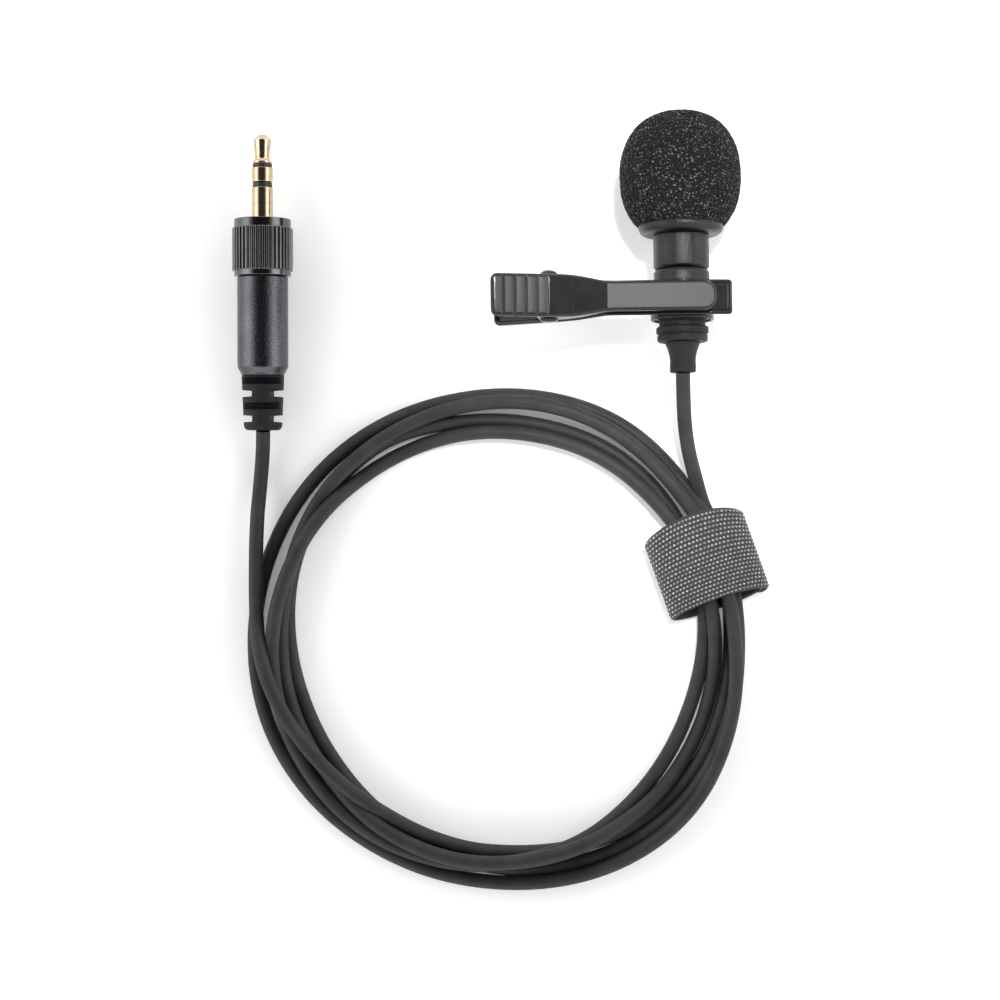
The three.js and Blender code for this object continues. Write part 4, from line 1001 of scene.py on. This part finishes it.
# The tie's strap is wound once and a bit round the coil. Its section is a squashed ring, x = A sgn(c)|c|^0.92 and
# z = B sgn(s)|s|^1.12, that grows by the strap's thickness as it winds. It leans along the cable with its height,
# and its knit columns stand up as rows of small round loops.
def addStrap():
    t = tie
    bearing = math.radians(t["bearing"])
    outward = np.array([math.cos(bearing), math.sin(bearing), 0])
    along = np.array([-math.sin(bearing), math.cos(bearing), 0])
    centre = boxMiddle("cord_coil") * [1, 1, 0] + outward * t["radius"]
    length, width = 640, 132
    angle = np.radians(np.linspace(t["start"], t["start"] - 360 - t["lap"], length))
    share = (angle[0] - angle) / tau
    grow = t["thickness"] * 1.05 * np.clip(share, 0, 1.3)
    c, s = np.cos(angle), np.sin(angle)
    ringX = (t["half"] - 1.0 + grow) * np.sign(c) * np.abs(c) ** 0.92
    ringZ = t["middle"] + (t["rise"] - 0.95 + grow * np.where(s > 0, 1.0, 0.45)) * np.sign(s) * np.abs(s) ** 1.12
    line = np.stack([ringX, ringZ], -1)
    step = unit(np.gradient(line, axis=0))
    normal = np.stack([-step[:, 1], step[:, 0]], -1)
    run = runAlong(line)
    across = np.linspace(-0.5, 0.5, width)[None, :] * t["width"]
    u, v = run[:, None] / t["knit"], (across + t["width"] / 2) / t["knit"]
    column = np.floor(v)
    drift = 0.16 * np.sin(column * 12.9898) + 0.10 * np.sin(u * 0.9 + column * 4.1)
    loopU = u + 0.5 * (column % 2) + drift
    du, dv = (loopU - np.round(loopU)) * 2, (v - column - 0.5) * 2
    dot = clamped(1 - np.hypot(du * 1.15, dv * 1.25))
    lot = np.abs(np.sin(np.round(loopU) * 78.233 + column * 37.719) * 43.758) % 1.0
    rib = np.cos(dv * math.pi / 2) ** 2
    edge = clamped((t["width"] / 2 - np.abs(across)) / 0.35)
    bulge = 0.10 * np.sqrt(dot) + 0.05 * rib
    inside = t["thickness"] * 0.55
    body = inside * (0.35 + 0.65 * edge)
    sag = 0.25 * np.sin(across / t["width"] * 5.3 + 1.2) * (s[:, None] > 0) * clamped(s[:, None])
    outer = line[:, None] + normal[:, None] * (body + bulge * edge + 0.25 * sag)[..., None]
    inner = line[:, None] - normal[:, None] * (body * 0.8)[..., None]
    lean = t["lean"] * (line[:, 1] - t["middle"])[:, None]
    bow = t["bow"] * clamped(s)[:, None] ** 2 * clamped(across / (t["width"] / 2))
    slide = across + lean + bow + t["lapSlide"] * clamped(share - 1.0)[:, None]
    # it narrows towards its end
    tip = clamped((run[-1] - run) / 2.2)[:, None]
    slide = slide * (1 - 0.10 * (1 - tip) ** 2)

    def world(section):
        level = section[..., :1] * outward + slide[..., None] * along
        return centre + mm * level + mm * section[..., 1:] * np.array([0, 0, 1.0])

    top, bottom = world(outer), world(inner)
    # one closed skin: across the outer face, back across the inner face, and closed at both ends
    ring = np.concatenate([top, bottom[:, ::-1]], 1)
    middleFirst, middleLast = ring[:1].mean(1, keepdims=True), ring[-1:].mean(1, keepdims=True)
    ring = np.concatenate([np.repeat(middleFirst, ring.shape[1], 1), ring, np.repeat(middleLast, ring.shape[1], 1)])
    ring[..., 2] = np.maximum(ring[..., 2], 0.0)
    # the column and loop rises below also drive the strap's painted shade and painted highlights
    knit = np.zeros((*ring.shape[:2], 3))
    knit[1:-1, :width, 0] = rib * edge
    knit[1:-1, :width, 1] = dot * edge
    knit[1:-1, :width, 2] = lot
    knit[1:-1, width:, 0] = 0.3
    piece = addPiece("tieStrap", [{"points": ring}], "strap", "microphone", ["cord_tie_strap", "cord_tie_hook_tab"],
                     {"knit": knit.reshape(-1, 3)})
    print("strap length", round(float(run[-1]), 1), "mm")


addStrap()
print("tie made")

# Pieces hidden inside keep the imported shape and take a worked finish.
for node, finish in {
    "electret_capsule": "spring", "capsule_boot": "rubber", "capsule_board": "board", "mic_cable_crimp": "copper",
    "mic_cable_end": "jacket", "mic_signal_wire": "redWire", "mic_ground_wire": "clearWire",
    "lock_ring_retainer": "spring", "plug_insert": "insulator", "plug_cable_crimp": "copper",
    "plug_cable_end": "jacket", "plug_tip_wire": "clearWire", "plug_ring_wire": "redWire",
    "plug_sleeve_wire": "clearWire",
}.items():
    kept = frame["nodes"][node]
    kept.data.materials.clear()
    kept.data.materials.append(finishes[finish])
